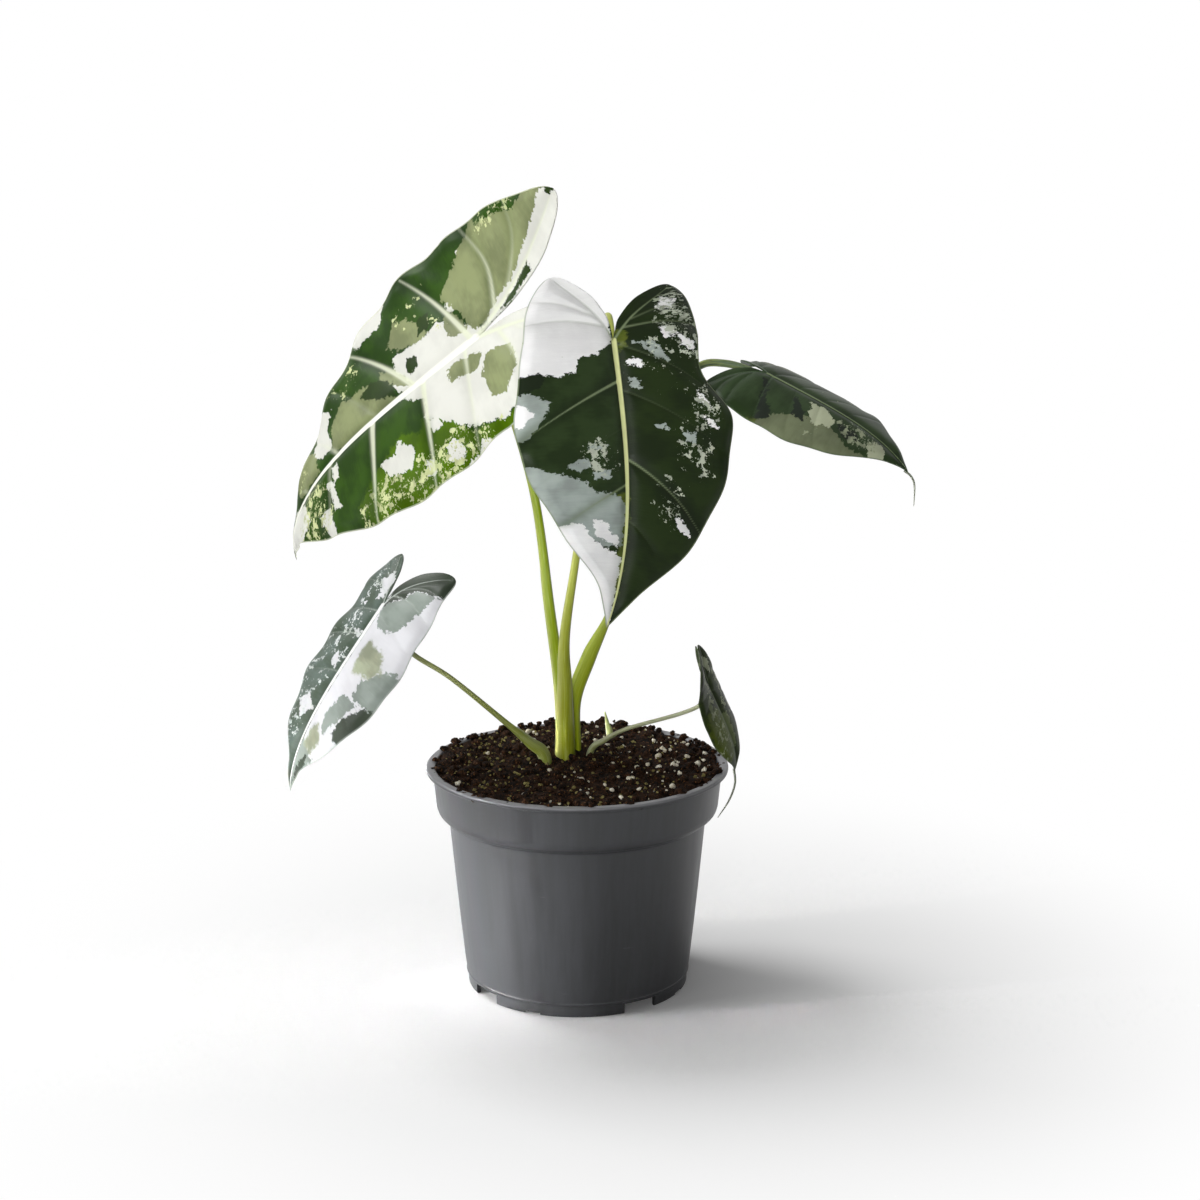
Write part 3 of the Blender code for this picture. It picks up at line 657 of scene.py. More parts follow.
# How dark each marking goes where it is worn, and half the softness of its border.
TONE_DEPTH = {"lime": 0.6, "sage": 0.66, "cream": 0.9, "deep": 0.7}
TONE_SOFTNESS = {"lime": 1.1, "sage": 0.2, "cream": 0.12, "deep": 0.3}
BAY_DEPTH = 4.4
TOOTH_DEPTH = 6.4
GROUND_SHADE = (0.52, 0.58, 0.42)
# Painted shade in the hollows beside the veins.
HOLLOW_PAINTED_SHADE = (0.55, 0.6, 0.5)
FLECK_SHADE = 0.55
FLECK_SOFTNESS = 0.014
CLUMP_PULL = 0.36
# Flecks are (pattern, its offset, level they appear at with no density, and its fall at full density).
FLECKS = (
    ("large_flecks", 30.6, 0.76, 0.22),
    ("middle_flecks", 85.5, 0.84, 0.26),
    ("small_flecks", 171.0, 0.9, 0.24),
)
LIT_THROUGH = colour(170, 200, 40)
# Painted shade on the side of each stalk that faces away from the lamps.
STALK_PAINTED_SHADE = (0.5, 0.52, 0.3)
STALK_SPECK = colour(70, 74, 30)
POT_DARK = colour(50, 51, 53)
POT_LIGHT = colour(57, 58, 61)
POT_SCUFF = colour(110, 110, 116)
# Painted highlight on the pot's top edge.
POT_LIP_PAINTED_HIGHLIGHT = colour(150, 150, 154)
PEAT_TONES = (colour(8, 5, 3), colour(48, 30, 18), colour(122, 84, 50))
PERLITE_TONES = (colour(250, 246, 232), colour(206, 194, 164))
MOSS_TONES = (colour(150, 140, 88), colour(92, 82, 40))


# --- Materials ---------------------------------------------------------------
def ragged_border(nodes, grain, seed):
    """A shift in millimetres that breaks up the border of a marking into bays and islands."""
    moved = nodes.vector("ADD", grain, (seed * 37.0, seed * 11.0, seed * 5.0))
    bays = nodes.centred(nodes.pattern(moved, "border_bays"), BAY_DEPTH)
    teeth = nodes.centred(nodes.pattern(moved, "border_teeth"), TOOTH_DEPTH)
    return nodes.math("ADD", bays, teeth)


def marked(nodes, skin, name, tint, grain, wear):
    """The skin with the blade's markings painted over it in turn."""
    for seed, tone in enumerate(LEAF_LOOKS[name]["order"], 1):
        inside = nodes.math("ADD", nodes.attribute(tone), ragged_border(nodes, grain, seed))
        mask = nodes.ranged(inside, -TONE_SOFTNESS[tone], TONE_SOFTNESS[tone])
        worn = nodes.mix(nodes.ranged(wear, 0.36, 0.62), shaded(tint[tone], TONE_DEPTH[tone]), tint[tone])
        skin = nodes.mix(mask, skin, worn)
    return skin


def flecked(nodes, skin, tint, grain):
    """The skin with pale splashes of three sizes in loose clusters, thick where the fleck field is high."""
    density = nodes.attribute("fleck")
    clump = nodes.pattern(grain, "fleck_clumps")
    pale = nodes.mix(nodes.ranged(clump, 0.4, 0.62), shaded(tint["fleck"], FLECK_SHADE), tint["fleck"])
    for pattern, offset, highest, fall in FLECKS:
        spots = nodes.pattern(nodes.vector("ADD", grain, (offset, 3.0, 1.0)), pattern)
        level = nodes.math("MULTIPLY_ADD", density, -fall, highest)
        above = nodes.math("SUBTRACT", spots, nodes.math("SUBTRACT", level, nodes.centred(clump, CLUMP_PULL)))
        skin = nodes.mix(nodes.ranged(above, 0.0, FLECK_SOFTNESS), skin, pale)
    return skin


def painted_shade_in_hollows(nodes, skin):
    """The skin with painted shade in the hollows along the veins, though hardly on cream."""
    depth = nodes.ranged(nodes.attribute("puff"), 0.0, 0.95, 0.75, 0.0)
    green = nodes.ranged(nodes.attribute("cream"), -1.0, 2.0, 1.0, 0.12)
    # Painted shade: the skin is darkened in the hollows, where shade would fall.
    painted_hollow_shade = nodes.mix(1.0, skin, HOLLOW_PAINTED_SHADE, "MULTIPLY")
    return nodes.mix(nodes.math("MULTIPLY", depth, green), skin, painted_hollow_shade)


def veined(nodes, skin, tint, pale_veins):
    """The skin with veins, midrib and a thin margin."""
    vein = nodes.attribute("vein")
    skin = nodes.mix(nodes.ranged(vein, 0.06, 0.5, 0.0, 0.22), skin, tint["vein"])
    share = nodes.ranged(nodes.attribute("cream"), 0.0, 4.0, 0.8, pale_veins)
    skin = nodes.mix(nodes.math("MULTIPLY", nodes.ranged(vein, 0.34, 0.8), share), skin, tint["vein"])
    skin = nodes.mix(nodes.ranged(nodes.attribute("midrib"), 0.3, 0.62), skin, tint["midrib"])
    return nodes.mix(nodes.ranged(nodes.attribute("edge"), 0.2, 0.75, 0.7, 0.0), skin, tint["vein"])


def leaf_material(name):
    """Variegated leaf skin: green ground with lime, sage, cream and deep markings, flecks and veins."""
    nodes = Nodes(name + "_skin")
    tint = {part: colour(*shade) for part, shade in LEAF_TINTS[name].items()}
    grain = nodes.attribute("grain", "Vector")
    streaks = nodes.pattern(grain, "leaf_streaks")
    wear = nodes.weighted(nodes.pattern(grain, "leaf_cloud"), 0.86, streaks, 0.14)
    ground = nodes.mix(nodes.attribute("right_half"), tint["green"], tint["green_right"])
    skin = nodes.mix(nodes.ranged(wear, 0.4, 0.6), nodes.mix(1.0, ground, GROUND_SHADE, "MULTIPLY"), ground)
    skin = marked(nodes, skin, name, tint, grain, wear)
    skin = painted_shade_in_hollows(nodes, flecked(nodes, skin, tint, grain))
    skin = veined(nodes, skin, tint, LEAF_LOOKS[name]["pale_veins"])
    skin = nodes.mix(nodes.attribute("under"), skin, nodes.mix(0.42, skin, tint["vein"]))
    pores = nodes.math("MULTIPLY", nodes.pattern(grain, "leaf_pores"), 0.4)
    face = nodes.principled(
        Base_Color=skin, Roughness=0.38, Specular_IOR_Level=LEAF_LOOKS[name]["shine"],
        Normal=nodes.bump(nodes.math("ADD", pores, streaks), 0.3, 0.0003),
    )
    glow = nodes.shader("ShaderNodeBsdfTranslucent", nodes.mix(0.6, skin, LIT_THROUGH, "MULTIPLY"))
    return nodes.finish(nodes.shader("ShaderNodeMixShader", 0.16, face, glow))


def stalk_material(name, low, high, pale):
    """Satin green stalk with faint lengthwise streaks, with painted light in the pale tone down the side
    toward the lamps and painted shade down the other.
    """
    nodes = Nodes(name)
    grain = nodes.attribute("grain", "Vector")
    streaks = nodes.pattern(grain, "stalk_streaks")
    toward = nodes.attribute("painted_lit_side")
    skin = nodes.mix(nodes.ranged(nodes.attribute("reach"), 0.1, 0.75), low, high)
    shade = nodes.mix(1.0, skin, STALK_PAINTED_SHADE, "MULTIPLY")
    # Painted shade down the side away from the lamps, and painted light in the pale tone down the side toward
    # them.
    skin = nodes.mix(nodes.ranged(toward, -0.2, -1.0, 0.0, 0.8), skin, shade)
    skin = nodes.mix(nodes.ranged(toward, 0.35, 1.0, 0.0, 0.85), skin, pale)
    skin = nodes.mix(nodes.ranged(streaks, 0.42, 0.7, 0.0, 0.35), skin, pale)
    skin = nodes.mix(nodes.ranged(nodes.pattern(grain, "stalk_cloud"), 0.5, 0.7, 0.0, 0.3), skin, pale)
    specks = nodes.pattern(grain, "stalk_specks")
    skin = nodes.mix(nodes.ranged(specks, 0.79, 0.81, 0.0, 0.6), skin, STALK_SPECK)
    return nodes.finish(nodes.principled(
        Base_Color=skin, Roughness=0.4, Specular_IOR_Level=0.22, Normal=nodes.bump(streaks, 0.08, 0.0002),
    ))


def pot_material():
    """Grey satin polypropylene with faint upright flow marks, scuffs and a painted highlight along the lip.
    """
    nodes = Nodes("pot_satin_plastic")
    place = nodes.place()
    flow = nodes.pattern(place, "pot_flow")
    share = nodes.weighted(flow, 0.5, nodes.pattern(place, "pot_bands"), 0.5)
    skin = nodes.mix(nodes.ranged(share, 0.36, 0.64), POT_DARK, POT_LIGHT)
    scuffs = nodes.pattern(place, "pot_scuffs")
    skin = nodes.mix(nodes.ranged(scuffs, 0.68, 0.76, 0.0, 0.2), skin, POT_SCUFF)
    height = nodes.axis(place, 2)
    # Painted highlight: the top millimetre of the pot, rim and lip, is made paler.
    lip = nodes.ranged(height, (POT_HEIGHT - 1.0) * MM, (POT_HEIGHT - 0.35) * MM, 0.0, 0.5)
    grain = nodes.weighted(nodes.pattern(place, "pot_pebbling"), 0.25, flow, 0.4)
    return nodes.finish(nodes.principled(
        Base_Color=nodes.mix(lip, skin, POT_LIP_PAINTED_HIGHLIGHT), Roughness=nodes.ranged(share, 0.3, 0.7, 0.36, 0.48),
        Specular_IOR_Level=0.45, Normal=nodes.bump(grain, 0.08, 0.0002),
    ))


def soil_material(name, dark, mid, warm):
    """Damp peat: near-black with brown and reddish fibres."""
    nodes = Nodes(name)
    place = nodes.place()
    fibres = nodes.pattern(place, "soil_fibres")
    share = nodes.weighted(nodes.pattern(place, "soil_clods"), 0.5, fibres, 0.5)
    skin = nodes.mix(nodes.ranged(share, 0.42, 0.58), dark, mid)
    skin = nodes.mix(nodes.ranged(fibres, 0.6, 0.68, 0.0, 0.7), skin, warm)
    return nodes.finish(nodes.principled(
        Base_Color=skin, Roughness=0.88, Specular_IOR_Level=0.1, Normal=nodes.bump(fibres, 0.6, 0.0006),
    ))


def grain_material(name, pale, shade):
    """Chalky perlite or moss: pale with darker pits."""
    nodes = Nodes(name)
    place = nodes.place()
    pits = nodes.pattern(place, "grain_pits")
    patches = nodes.pattern(place, "grain_patches")
    skin = nodes.mix(nodes.ranged(pits, 0.35, 0.6), shade, pale)
    skin = nodes.mix(nodes.ranged(patches, 0.45, 0.65, 0.0, 0.5), skin, shade)
    return nodes.finish(nodes.principled(
        Base_Color=skin, Roughness=0.85, Specular_IOR_Level=0.3, Normal=nodes.bump(pits, 0.5, 0.0004),
    ))


# --- Blades ------------------------------------------------------------------
SIDES = ((-1, "left"), (1, "right"))
FAR_AWAY = 1e9


def blade_axes(heading, pitch, roll):
    """Unit vectors along the midrib, out to the right of it, and up from the blade."""
    h, p, r = (math.radians(angle) for angle in (heading, pitch, roll))
    along = np.array([math.cos(p) * math.cos(h), math.cos(p) * math.sin(h), math.sin(p)])
    level = np.array([math.sin(h), -math.cos(h), 0.0])
    above = np.cross(level, along)
    return along, math.cos(r) * level + math.sin(r) * above, math.cos(r) * above - math.sin(r) * level


def walk(directions, length):
    """Points reached by following the directions over the length."""
    middle = (directions[1:] + directions[:-1]) / 2 * length / (len(directions) - 1)
    return np.vstack([np.zeros(3), np.cumsum(middle, axis=0)])


def rib_path(leaf):
    """Distances, points and directions along the midrib and back into the lobes."""
    along, right, normal = blade_axes(leaf["heading"], leaf["pitch"], leaf["roll"])
    length = leaf["length"]
    lobe = LOBE_MARGIN * max(leaf["left_half"][1], leaf["right_half"][1])
    share = np.linspace(0.0, 1.0, RIB_STEPS)
    droop = np.radians(leaf["droop"] * share ** DROOP_POWER)[:, None]
    sweep = np.radians(leaf["sweep"] * share ** 2)[:, None]
    forward = np.cos(droop) * np.cos(sweep) * along - np.sin(droop) * normal
    forward = forward + np.cos(droop) * np.sin(sweep) * right
    bend = np.radians(leaf["lobe_bend"] * share)[:, None]
    backward = -np.cos(bend) * along - np.sin(bend) * normal
    joint = np.array(leaf["joint"])
    front = joint + walk(forward, length)
    back = joint + walk(backward, lobe)
    distance = np.concatenate([-share[:0:-1] * lobe, share * length])
    points = np.vstack([back[:0:-1], front])
    directions = np.vstack([-backward[:0:-1], forward])
    return distance, points, directions, right


def blade_points(leaf, path, along, out, side):
    """Points of the blade at distances along the midrib and out to one side."""
    distance, points, directions, right = path
    centre, ahead = (
        np.stack([np.interp(along, distance, table[:, axis]) for axis in range(3)], axis=-1)
        for table in (points, directions)
    )
    ahead /= np.linalg.norm(ahead, axis=-1, keepdims=True)
    across = np.cross(ahead, np.cross(right, ahead))
    across /= np.linalg.norm(across, axis=-1, keepdims=True)
    up = np.cross(across, ahead)
    folds = leaf["right_fold"] if side > 0 else leaf["left_fold"]
    stations = (distance[0] / LOBE_MARGIN, 0.0, leaf["length"])
    fold = np.radians(np.interp(along, stations, folds))
    curl = math.radians(leaf["cup"][1 if side > 0 else 0])
    sideways = (np.sin(fold + curl * out) - np.sin(fold)) / curl
    lift = (np.cos(fold) - np.cos(fold + curl * out)) / curl
    return centre + side * sideways[..., None] * across + lift[..., None] * up


def half_outline(leaf, side_name):
    """Dense smooth margin and sinus of one half blade, meeting at the lobe's end."""
    width, lobe, spread, waist, belly = leaf[side_name + "_half"]

    def sized(point, widening=1.0):
        along, out = point
        reach = along * lobe if along < 0.0 else leaf["length"] * along ** belly
        return reach, out * width * widening, 0.0

    *front, joint_margin, lobe_margin = HALF_MARGIN
    margin = [sized(point) for point in front]
    margin.append(sized(joint_margin, 1.0 - waist))
    margin.append(sized(lobe_margin, (1.0 + spread) / 2 * (1.0 - waist / 2)))
    end = sized(LOBE_END, spread)
    sinus = [sized(point, spread) for point in HALF_SINUS]
    route = [*margin, end, *sinus, (0.0, 0.0, 0.0)]
    curve = smooth_route(route, OUTLINE_SPACING)[:, :2]
    lobe_end = int(np.argmin(np.linalg.norm(curve - np.array(end[:2]), axis=1)))
    return curve[:lobe_end + 1], curve[lobe_end:][::-1]


def evenly(curve, count):
    """Points at equal steps of arc length along a dense curve."""
    reached = travel(curve)
    wanted = np.linspace(0.0, reached[-1], count)
    return np.stack([np.interp(wanted, reached, curve[:, axis]) for axis in range(2)], axis=1)


def blade_rows(leaf, side_name, front_rows, lobe_rows):
    """Inner and outer ends of the rows of one half blade, from tip to lobe."""
    outer, sinus = half_outline(leaf, side_name)
    widest = int(np.argmax(outer[:, 0] < 0.0))
    front_margin = evenly(outer[:widest + 1], front_rows + 1)
    lobe_margin = evenly(outer[widest:], lobe_rows + 1)
    distances = np.linspace(leaf["length"], 0.0, front_rows + 1)
    midrib = np.stack([distances, np.zeros(front_rows + 1)], axis=1)
    inner = np.vstack([midrib, evenly(sinus, lobe_rows + 1)[1:]])
    return inner, np.vstack([front_margin, lobe_margin[1:]])


def distance_to_line(spots, line):
    """Distance of each spot to a broken line, and how far along the line it is, from 0 to 1."""
    line = np.asarray(line, dtype=float)
    reached = travel(line)
    best = np.full(len(spots), FAR_AWAY)
    where = np.zeros(len(spots))
    for index, (start, end) in enumerate(zip(line, line[1:])):
        step = end - start
        share = np.clip((spots - start) @ step / (step @ step), 0.0, 1.0)
        away = np.linalg.norm(spots - start - share[:, None] * step, axis=1)
        closer = away < best
        best[closer] = away[closer]
        where[closer] = (reached[index] + share[closer] * np.linalg.norm(step)) / reached[-1]
    return best, where


VEIN_STEPS = 9
VEIN_END = 0.97
VEIN_CURVE = (0.75, 0.25, 2.5)
MARGIN_AHEAD = 25.0
# The basal vein and its two branches, as shares of the lobe's length and width.
BASAL_VEIN = ((0.0, 0.0), (0.22, 0.14), (0.5, 0.38), (0.95, 0.92))
BASAL_BRANCHES = (((0.3, 0.5), (0.2, 0.93), 0.7), ((0.58, 0.5), (0.64, 0.8), 0.5))
BASAL_STRENGTH = 0.9


def side_veins(leaf, veins, side, side_name):
    """Centre lines and strengths of the veins of one half blade, in blade millimetres."""
    margin = half_outline(leaf, side_name)[0]
    width, lobe, spread = leaf[side_name + "_half"][:3]
    steps = np.linspace(0.0, 1.0, VEIN_STEPS)
    straight, curved, power = VEIN_CURVE
    lines = []
    for start, lean, strength in veins:
        foot = start * leaf["length"]
        reach = np.interp(foot + lean * MARGIN_AHEAD, margin[::-1, 0], margin[::-1, 1]) * VEIN_END
        along = foot + lean * reach * (straight * steps + curved * steps ** power)
        lines.append((np.stack([along, reach * steps], axis=1), strength))
    basal = np.array(BASAL_VEIN) * (-lobe, LOBE_END[1] * width * spread)
    basal_lines = [(basal, BASAL_STRENGTH)]
    for fork, (middle, end, strength) in zip((basal[1], (basal[1] + basal[2]) / 2), BASAL_BRANCHES):
        branch = np.array([middle, end]) * (-lobe, margin[:, 1].max())
        basal_lines.append(((fork, *branch), strength))
    for line, strength in basal_lines:
        lines.append((smooth_route([(*point, 0.0) for point in line], 2.0)[:, :2], strength))
    return [(line * (1.0, side), strength) for line, strength in lines]


def inside_patch(spots, corners):
    """Whether each spot lies inside the closed outline, by counting crossings."""
    inside = np.zeros(len(spots), dtype=bool)
    for (u0, v0), (u1, v1) in zip(corners, np.roll(corners, -1, axis=0)):
        if v0 == v1:
            continue
        crosses = (v0 > spots[:, 1]) != (v1 > spots[:, 1])
        inside ^= crosses & (spots[:, 0] < u0 + (spots[:, 1] - v0) * (u1 - u0) / (v1 - v0))
    return inside


def patch_field(spots, patches):
    """How far each spot is inside the nearest patch, in millimetres, negative outside."""
    field = np.full(len(spots), -FIELD_LIMIT)
    for patch in patches:
        corners = np.array(patch, dtype=float)
        away = distance_to_line(spots, np.vstack([corners, corners[:1]]))[0]
        field = np.maximum(field, np.where(inside_patch(spots, corners), away, -away))
    return np.clip(field, -FIELD_LIMIT, FIELD_LIMIT)


def fleck_density(spots, zones):
    """How thickly pale flecks lie at each spot, from 0 to 1."""
    density = np.zeros(len(spots))
    for along, out, half_length, half_width, amount in zones:
        away = np.hypot((spots[:, 0] - along) / half_length, (spots[:, 1] - out) / half_width)
        density = np.maximum(density, amount * (1.0 - smooth_step(*FLECK_FADE, away)))
    return density


def blade_sheet(leaf, rows, columns):
    """The blade's middle surface: points, faces and blade coordinates, welded along the midrib."""
    path = rib_path(leaf)
    lobe_rows = rows // 3
    points, spots, grain, edge, faces = [], [], [], [], []
    offset = 0
    for side, side_name in SIDES:
        inner, outer = blade_rows(leaf, side_name, rows, lobe_rows)
        share = np.linspace(0.0, 1.0, columns + 1)[None, :, None]
        flat = inner[:, None] * (1.0 - share) + outer[:, None] * share
        height, width = flat.shape[:2]
        points.append(blade_points(leaf, path, flat[..., 0], flat[..., 1], side).reshape(-1, 3))
        spots.append((flat * (1.0, side)).reshape(-1, 2))
        reach = np.linalg.norm(outer - inner, axis=1)[:, None]
        across = np.broadcast_to(travel(inner)[:, None], (height, width))
        along_vein = side * share[..., 0] * reach
        grain.append(np.stack([across, along_vein, np.zeros((height, width))], -1).reshape(-1, 3))
        edge.append(((1.0 - share[..., 0]) * reach).reshape(-1))
        index = np.arange(height * width).reshape(height, width) + offset
        quads = np.stack([index[:-1, :-1], index[:-1, 1:], index[1:, 1:], index[1:, :-1]], -1)
        quads = quads.reshape(-1, 4)
        faces.append(quads[:, ::-1] if side > 0 else quads)
        offset += height * width
    points, spots = np.vstack(points), np.vstack(spots)
    grain, edge, faces = np.vstack(grain), np.concatenate(edge), np.vstack(faces)
    return weld(points, faces, spots, grain, edge)


def weld(points, faces, *tables):
    """Merge points that coincide, drop collapsed corners, and keep one row of each table."""
    keys = np.round(points * WELD_STEPS).astype(np.int64)
    first, inverse = np.unique(keys, axis=0, return_index=True, return_inverse=True)[1:]
    inverse = inverse.reshape(-1)
    merged = []
    for face in inverse[faces]:
        corners = list(dict.fromkeys(face.tolist()))
        if len(corners) > 2:
            merged.append(corners)
    return points[first], merged, *(table[first] for table in tables)


def sheet_normals(points, faces):
    """Unit normals of the sheet at its points."""
    mesh = bpy.data.meshes.new("sheet")
    mesh.from_pydata(points.tolist(), [], faces)
    normals = np.zeros(len(points) * 3, dtype=np.float32)
    mesh.vertices.foreach_get("normal", normals)
    bpy.data.meshes.remove(mesh)
    return normals.reshape(-1, 3).astype(float)


def open_edges(faces):
    """Edges that only one face of the sheet uses, in that face's order."""
    seen = {}
    for face in faces:
        for start, end in zip(face, face[1:] + face[:1]):
            seen[(start, end)] = True
    return [edge for edge in seen if (edge[1], edge[0]) not in seen]


def vein_fields(name, width, spots):
    """How strong the veins are at each spot, and how far away the nearest one is."""
    vein = np.zeros(len(spots))
    nearest = np.full(len(spots), FAR_AWAY)
    for side, side_name in SIDES:
        here = spots[:, 1] * side >= -VEIN_OVERLAP
        for line, strength in side_veins(LEAVES[name], MARKINGS[name][side_name + "_veins"], side, side_name):
            away, where = distance_to_line(spots, line)
            reach = width * (1.0 - VEIN_NARROWING * where)
            height = strength * (1.0 - VEIN_FADING * where) * bell(away, reach)
            setback = FAINT_VEIN_SETBACK * (1.0 - strength)
            vein = np.where(here, np.maximum(vein, height), vein)
            nearest = np.where(here, np.minimum(nearest, away + setback), nearest)
    return vein, nearest


def margin_ruffle(size, spots, edge):
    """Waves of the whole sheet near its margin, in millimetres."""
    along, out = spots[:, 0], spots[:, 1]
    waves = np.sin(math.tau * (along / (RUFFLE_LENGTH * size) + np.where(out > 0.0, RUFFLE_SHIFT, 0.0)))
    near_margin = 1.0 - smooth_step(0.0, RUFFLE_REACH * size, edge)
    clear = smooth_step(0.0, RUFFLE_CLEAR * size, np.abs(out))
    return RUFFLE_HEIGHT * size ** 3 * waves * near_margin * clear


def blade_relief(name, spots, edge):
    """Rise of the upper face over the sheet, ribs below it, thickness, and the fields that the skin reads."""
    length = LEAVES[name]["length"]
    looks = LEAF_LOOKS[name]
    size = math.sqrt(length / RELIEF_LENGTH)
    along, out = spots[:, 0], spots[:, 1]
    vein, nearest = vein_fields(name, VEIN_WIDTH * looks["veins"] * size, spots)
    ahead = np.clip(along / length, 0.0, 1.0)
    from_midrib = np.where(along > -1.0, np.abs(out), np.hypot(along, out))
    rib_width = looks["midrib"] * size * (MIDRIB_WIDTH - ahead)
    midrib = bell(from_midrib, rib_width)
    puff = 1.0 - bell(np.minimum(nearest, from_midrib), QUILT_REACH * size)
    grooves = MIDRIB_GROOVE * bell(from_midrib, MIDRIB_GROOVE_WIDTH * size) + VEIN_GROOVE * vein
    rise = size * (QUILT_HEIGHT * puff + MIDRIB_RISE * midrib - grooves)
    rise = rise * smooth_step(0.0, PLAIN_MARGIN_ABOVE * size, edge) + margin_ruffle(size, spots, edge)
    foot, tip = MIDRIB_BELOW
    rib_below = (foot + (tip - foot) * ahead) * bell(from_midrib, rib_width * MIDRIB_BELOW_SPREAD)
    rib_below = size * (rib_below + VEIN_BELOW * vein) * smooth_step(0.0, PLAIN_MARGIN_BELOW * size, edge)
    thickness = EDGE_THICKNESS + (BLADE_THICKNESS - EDGE_THICKNESS) * smooth_step(0.0, EDGE_REACH, edge)
    return rise, rib_below, thickness, {"vein": vein, "midrib": midrib, "puff": puff}


def build_blade(name):
    """One closed leaf blade with raised and sunken veins, a thin margin and the fields of its markings."""
    markings = MARKINGS[name]
    points, faces, spots, grain, edge = blade_sheet(LEAVES[name], *LEAF_LOOKS[name]["grid"])
    normals = sheet_normals(points, faces)
    rise, rib_below, thickness, fields = blade_relief(name, spots, edge)
    top = points + normals * (thickness / 2 + rise)[:, None]
    bottom = points - normals * (thickness / 2 + rib_below - rise)[:, None]
    count = len(points)
    rim = [[end, start, start + count, end + count] for start, end in open_edges(faces)]
    under = [[corner + count for corner in face[::-1]] for face in faces]
    skin = leaf_material(name)
    vertices = np.vstack([top, bottom])
    blade = mesh_object(name + "_blade", vertices, faces + under + rim, skin)
    fields |= {tone: patch_field(spots, markings.get(tone, ())) for tone in PAINT_ORDER}
    fields["fleck"] = fleck_density(spots, markings["fleck"])
    fields["edge"] = edge
    fields["right_half"] = smooth_step(-HALF_SEAM, HALF_SEAM, spots[:, 1])
    for field, values in fields.items():
        number_attribute(blade, field, np.tile(values, 2))
    number_attribute(blade, "under", np.repeat([0.0, 1.0], count))
    vector_attribute(blade, "grain", np.tile(grain, (2, 1)))
    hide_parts(name)


# --- Stalks ------------------------------------------------------------------
# A sheath is (start and end as shares of the stalk, direction in degrees, height as a share of the radius).
STALK_LOOKS = {
    "stalk_back_left": {
        "tones": ((142, 162, 14), (130, 152, 14), (182, 190, 100)), "sheath": (0.05, 0.5, 200.0, 0.16),
    },
    "stalk_front": {
        "tones": ((142, 150, 12), (172, 180, 88), (196, 200, 116)), "sheath": (0.0, 0.34, 250.0, 0.12),
    },
    "stalk_right": {
        "tones": ((152, 166, 20), (72, 86, 66), (176, 190, 76)), "sheath": (0.1, 0.36, 200.0, 0.42),
    },
    "stalk_low_left": {
        "tones": ((136, 146, 50), (152, 158, 100), (180, 186, 136)), "sheath": (0.1, 0.34, 70.0, 0.3),
    },
    "stalk_low_right": {
        "tones": ((150, 156, 92), (158, 162, 130), (188, 192, 158)), "sheath": (0.0, 0.4, 90.0, 0.2),
    },
}
# Direction of the side of each stalk that gets painted light; the opposite side gets painted shade.
PAINTED_LIGHT_SIDE = (-0.97, -0.2, 0.1)
STALK_SIDES = 28
STALK_SPACING = 1.3
STALK_END_SETBACK = 0.9
STALK_END_NARROWING = 0.85
RIB_COUNT = 9.0
RIB_HEIGHT = 0.012
SHEATH_FADE_IN = 0.06
SHEATH_FADE_OUT = 0.05
WING_TURN = 0.5
WING_WIDTH = 0.28
FURROW_DEPTH = 0.7
FURROW_WIDTH = 0.3
FOOT_CAP = 0.3
TIP_CAP = 0.4
SHOOT_TONES = ((206, 210, 150), (190, 204, 120), (228, 230, 190))
SHOOT_SHEATH = (0.0, 0.9, 250.0, 0.12)
SHOOT_SIDES = 20
SHOOT_SPACING = 0.4
# Dried tails hang from two blades' tips through points (offsets from the tip, radius).
DRIP_TONES = ((96, 104, 84), (170, 174, 158), (186, 188, 176))
DRIP_SHEATH = (0.0, 0.0, 0.0, 0.0)
DRIP_SIDES = 8
DRIP_SPACING = 0.4
DRIP_TIPS = {
    "leaf_right": [
        (-1.5, 0.5, 0.6, 0.5), (1.0, -0.4, -1.4, 0.45), (2.4, -0.8, -5.0, 0.4), (2.4, -0.8, -13.0, 0.16),
    ],
    "leaf_low_right": [
        (-0.1, 0.0, 1.5, 0.5), (0.3, -1.5, -4.0, 0.42), (-2.0, -4.0, -10.0, 0.36), (-6.5, -7.5, -16.0, 0.16),
    ],
}


def share_along(points):
    """How far along the line each point lies, from 0 to 1."""
    reached = travel(points)
    return reached / reached[-1]


def stalk_route(name):
    """Points (x, y, z, radius) of a stalk, from its foot to its narrowed end in the blade's joint."""
    stalk = STALKS[name]
    leaf = LEAVES[name.replace("stalk", "leaf")]
    normal = blade_axes(leaf["heading"], leaf["pitch"], leaf["roll"])[2]
    x, y = stalk["foot"]
    end = np.array(leaf["joint"]) - STALK_SETBACK * normal
    foot = (x, y, SOIL_EDGE_Z - STALK_DEPTH)
    collar = (x, y, SOIL_EDGE_Z + STALK_UPRIGHT)
    centres = np.array([foot, collar, *stalk["through"], end])
    reach = share_along(centres)
    low, high = stalk["radii"]
    narrowed = np.clip(reach / stalk["sheath"], 0.0, 1.0)
    radii = low + (high - low) * narrowed ** 2 * (3.0 - 2.0 * narrowed)
    radii += stalk["swell"] * bell(reach - SWELL_CENTRE, SWELL_SPREAD)
    neck = np.array(leaf["joint"]) - STALK_END_SETBACK * normal
    return np.vstack([np.column_stack([centres, radii]), [*neck, radii[-1] * STALK_END_NARROWING]])


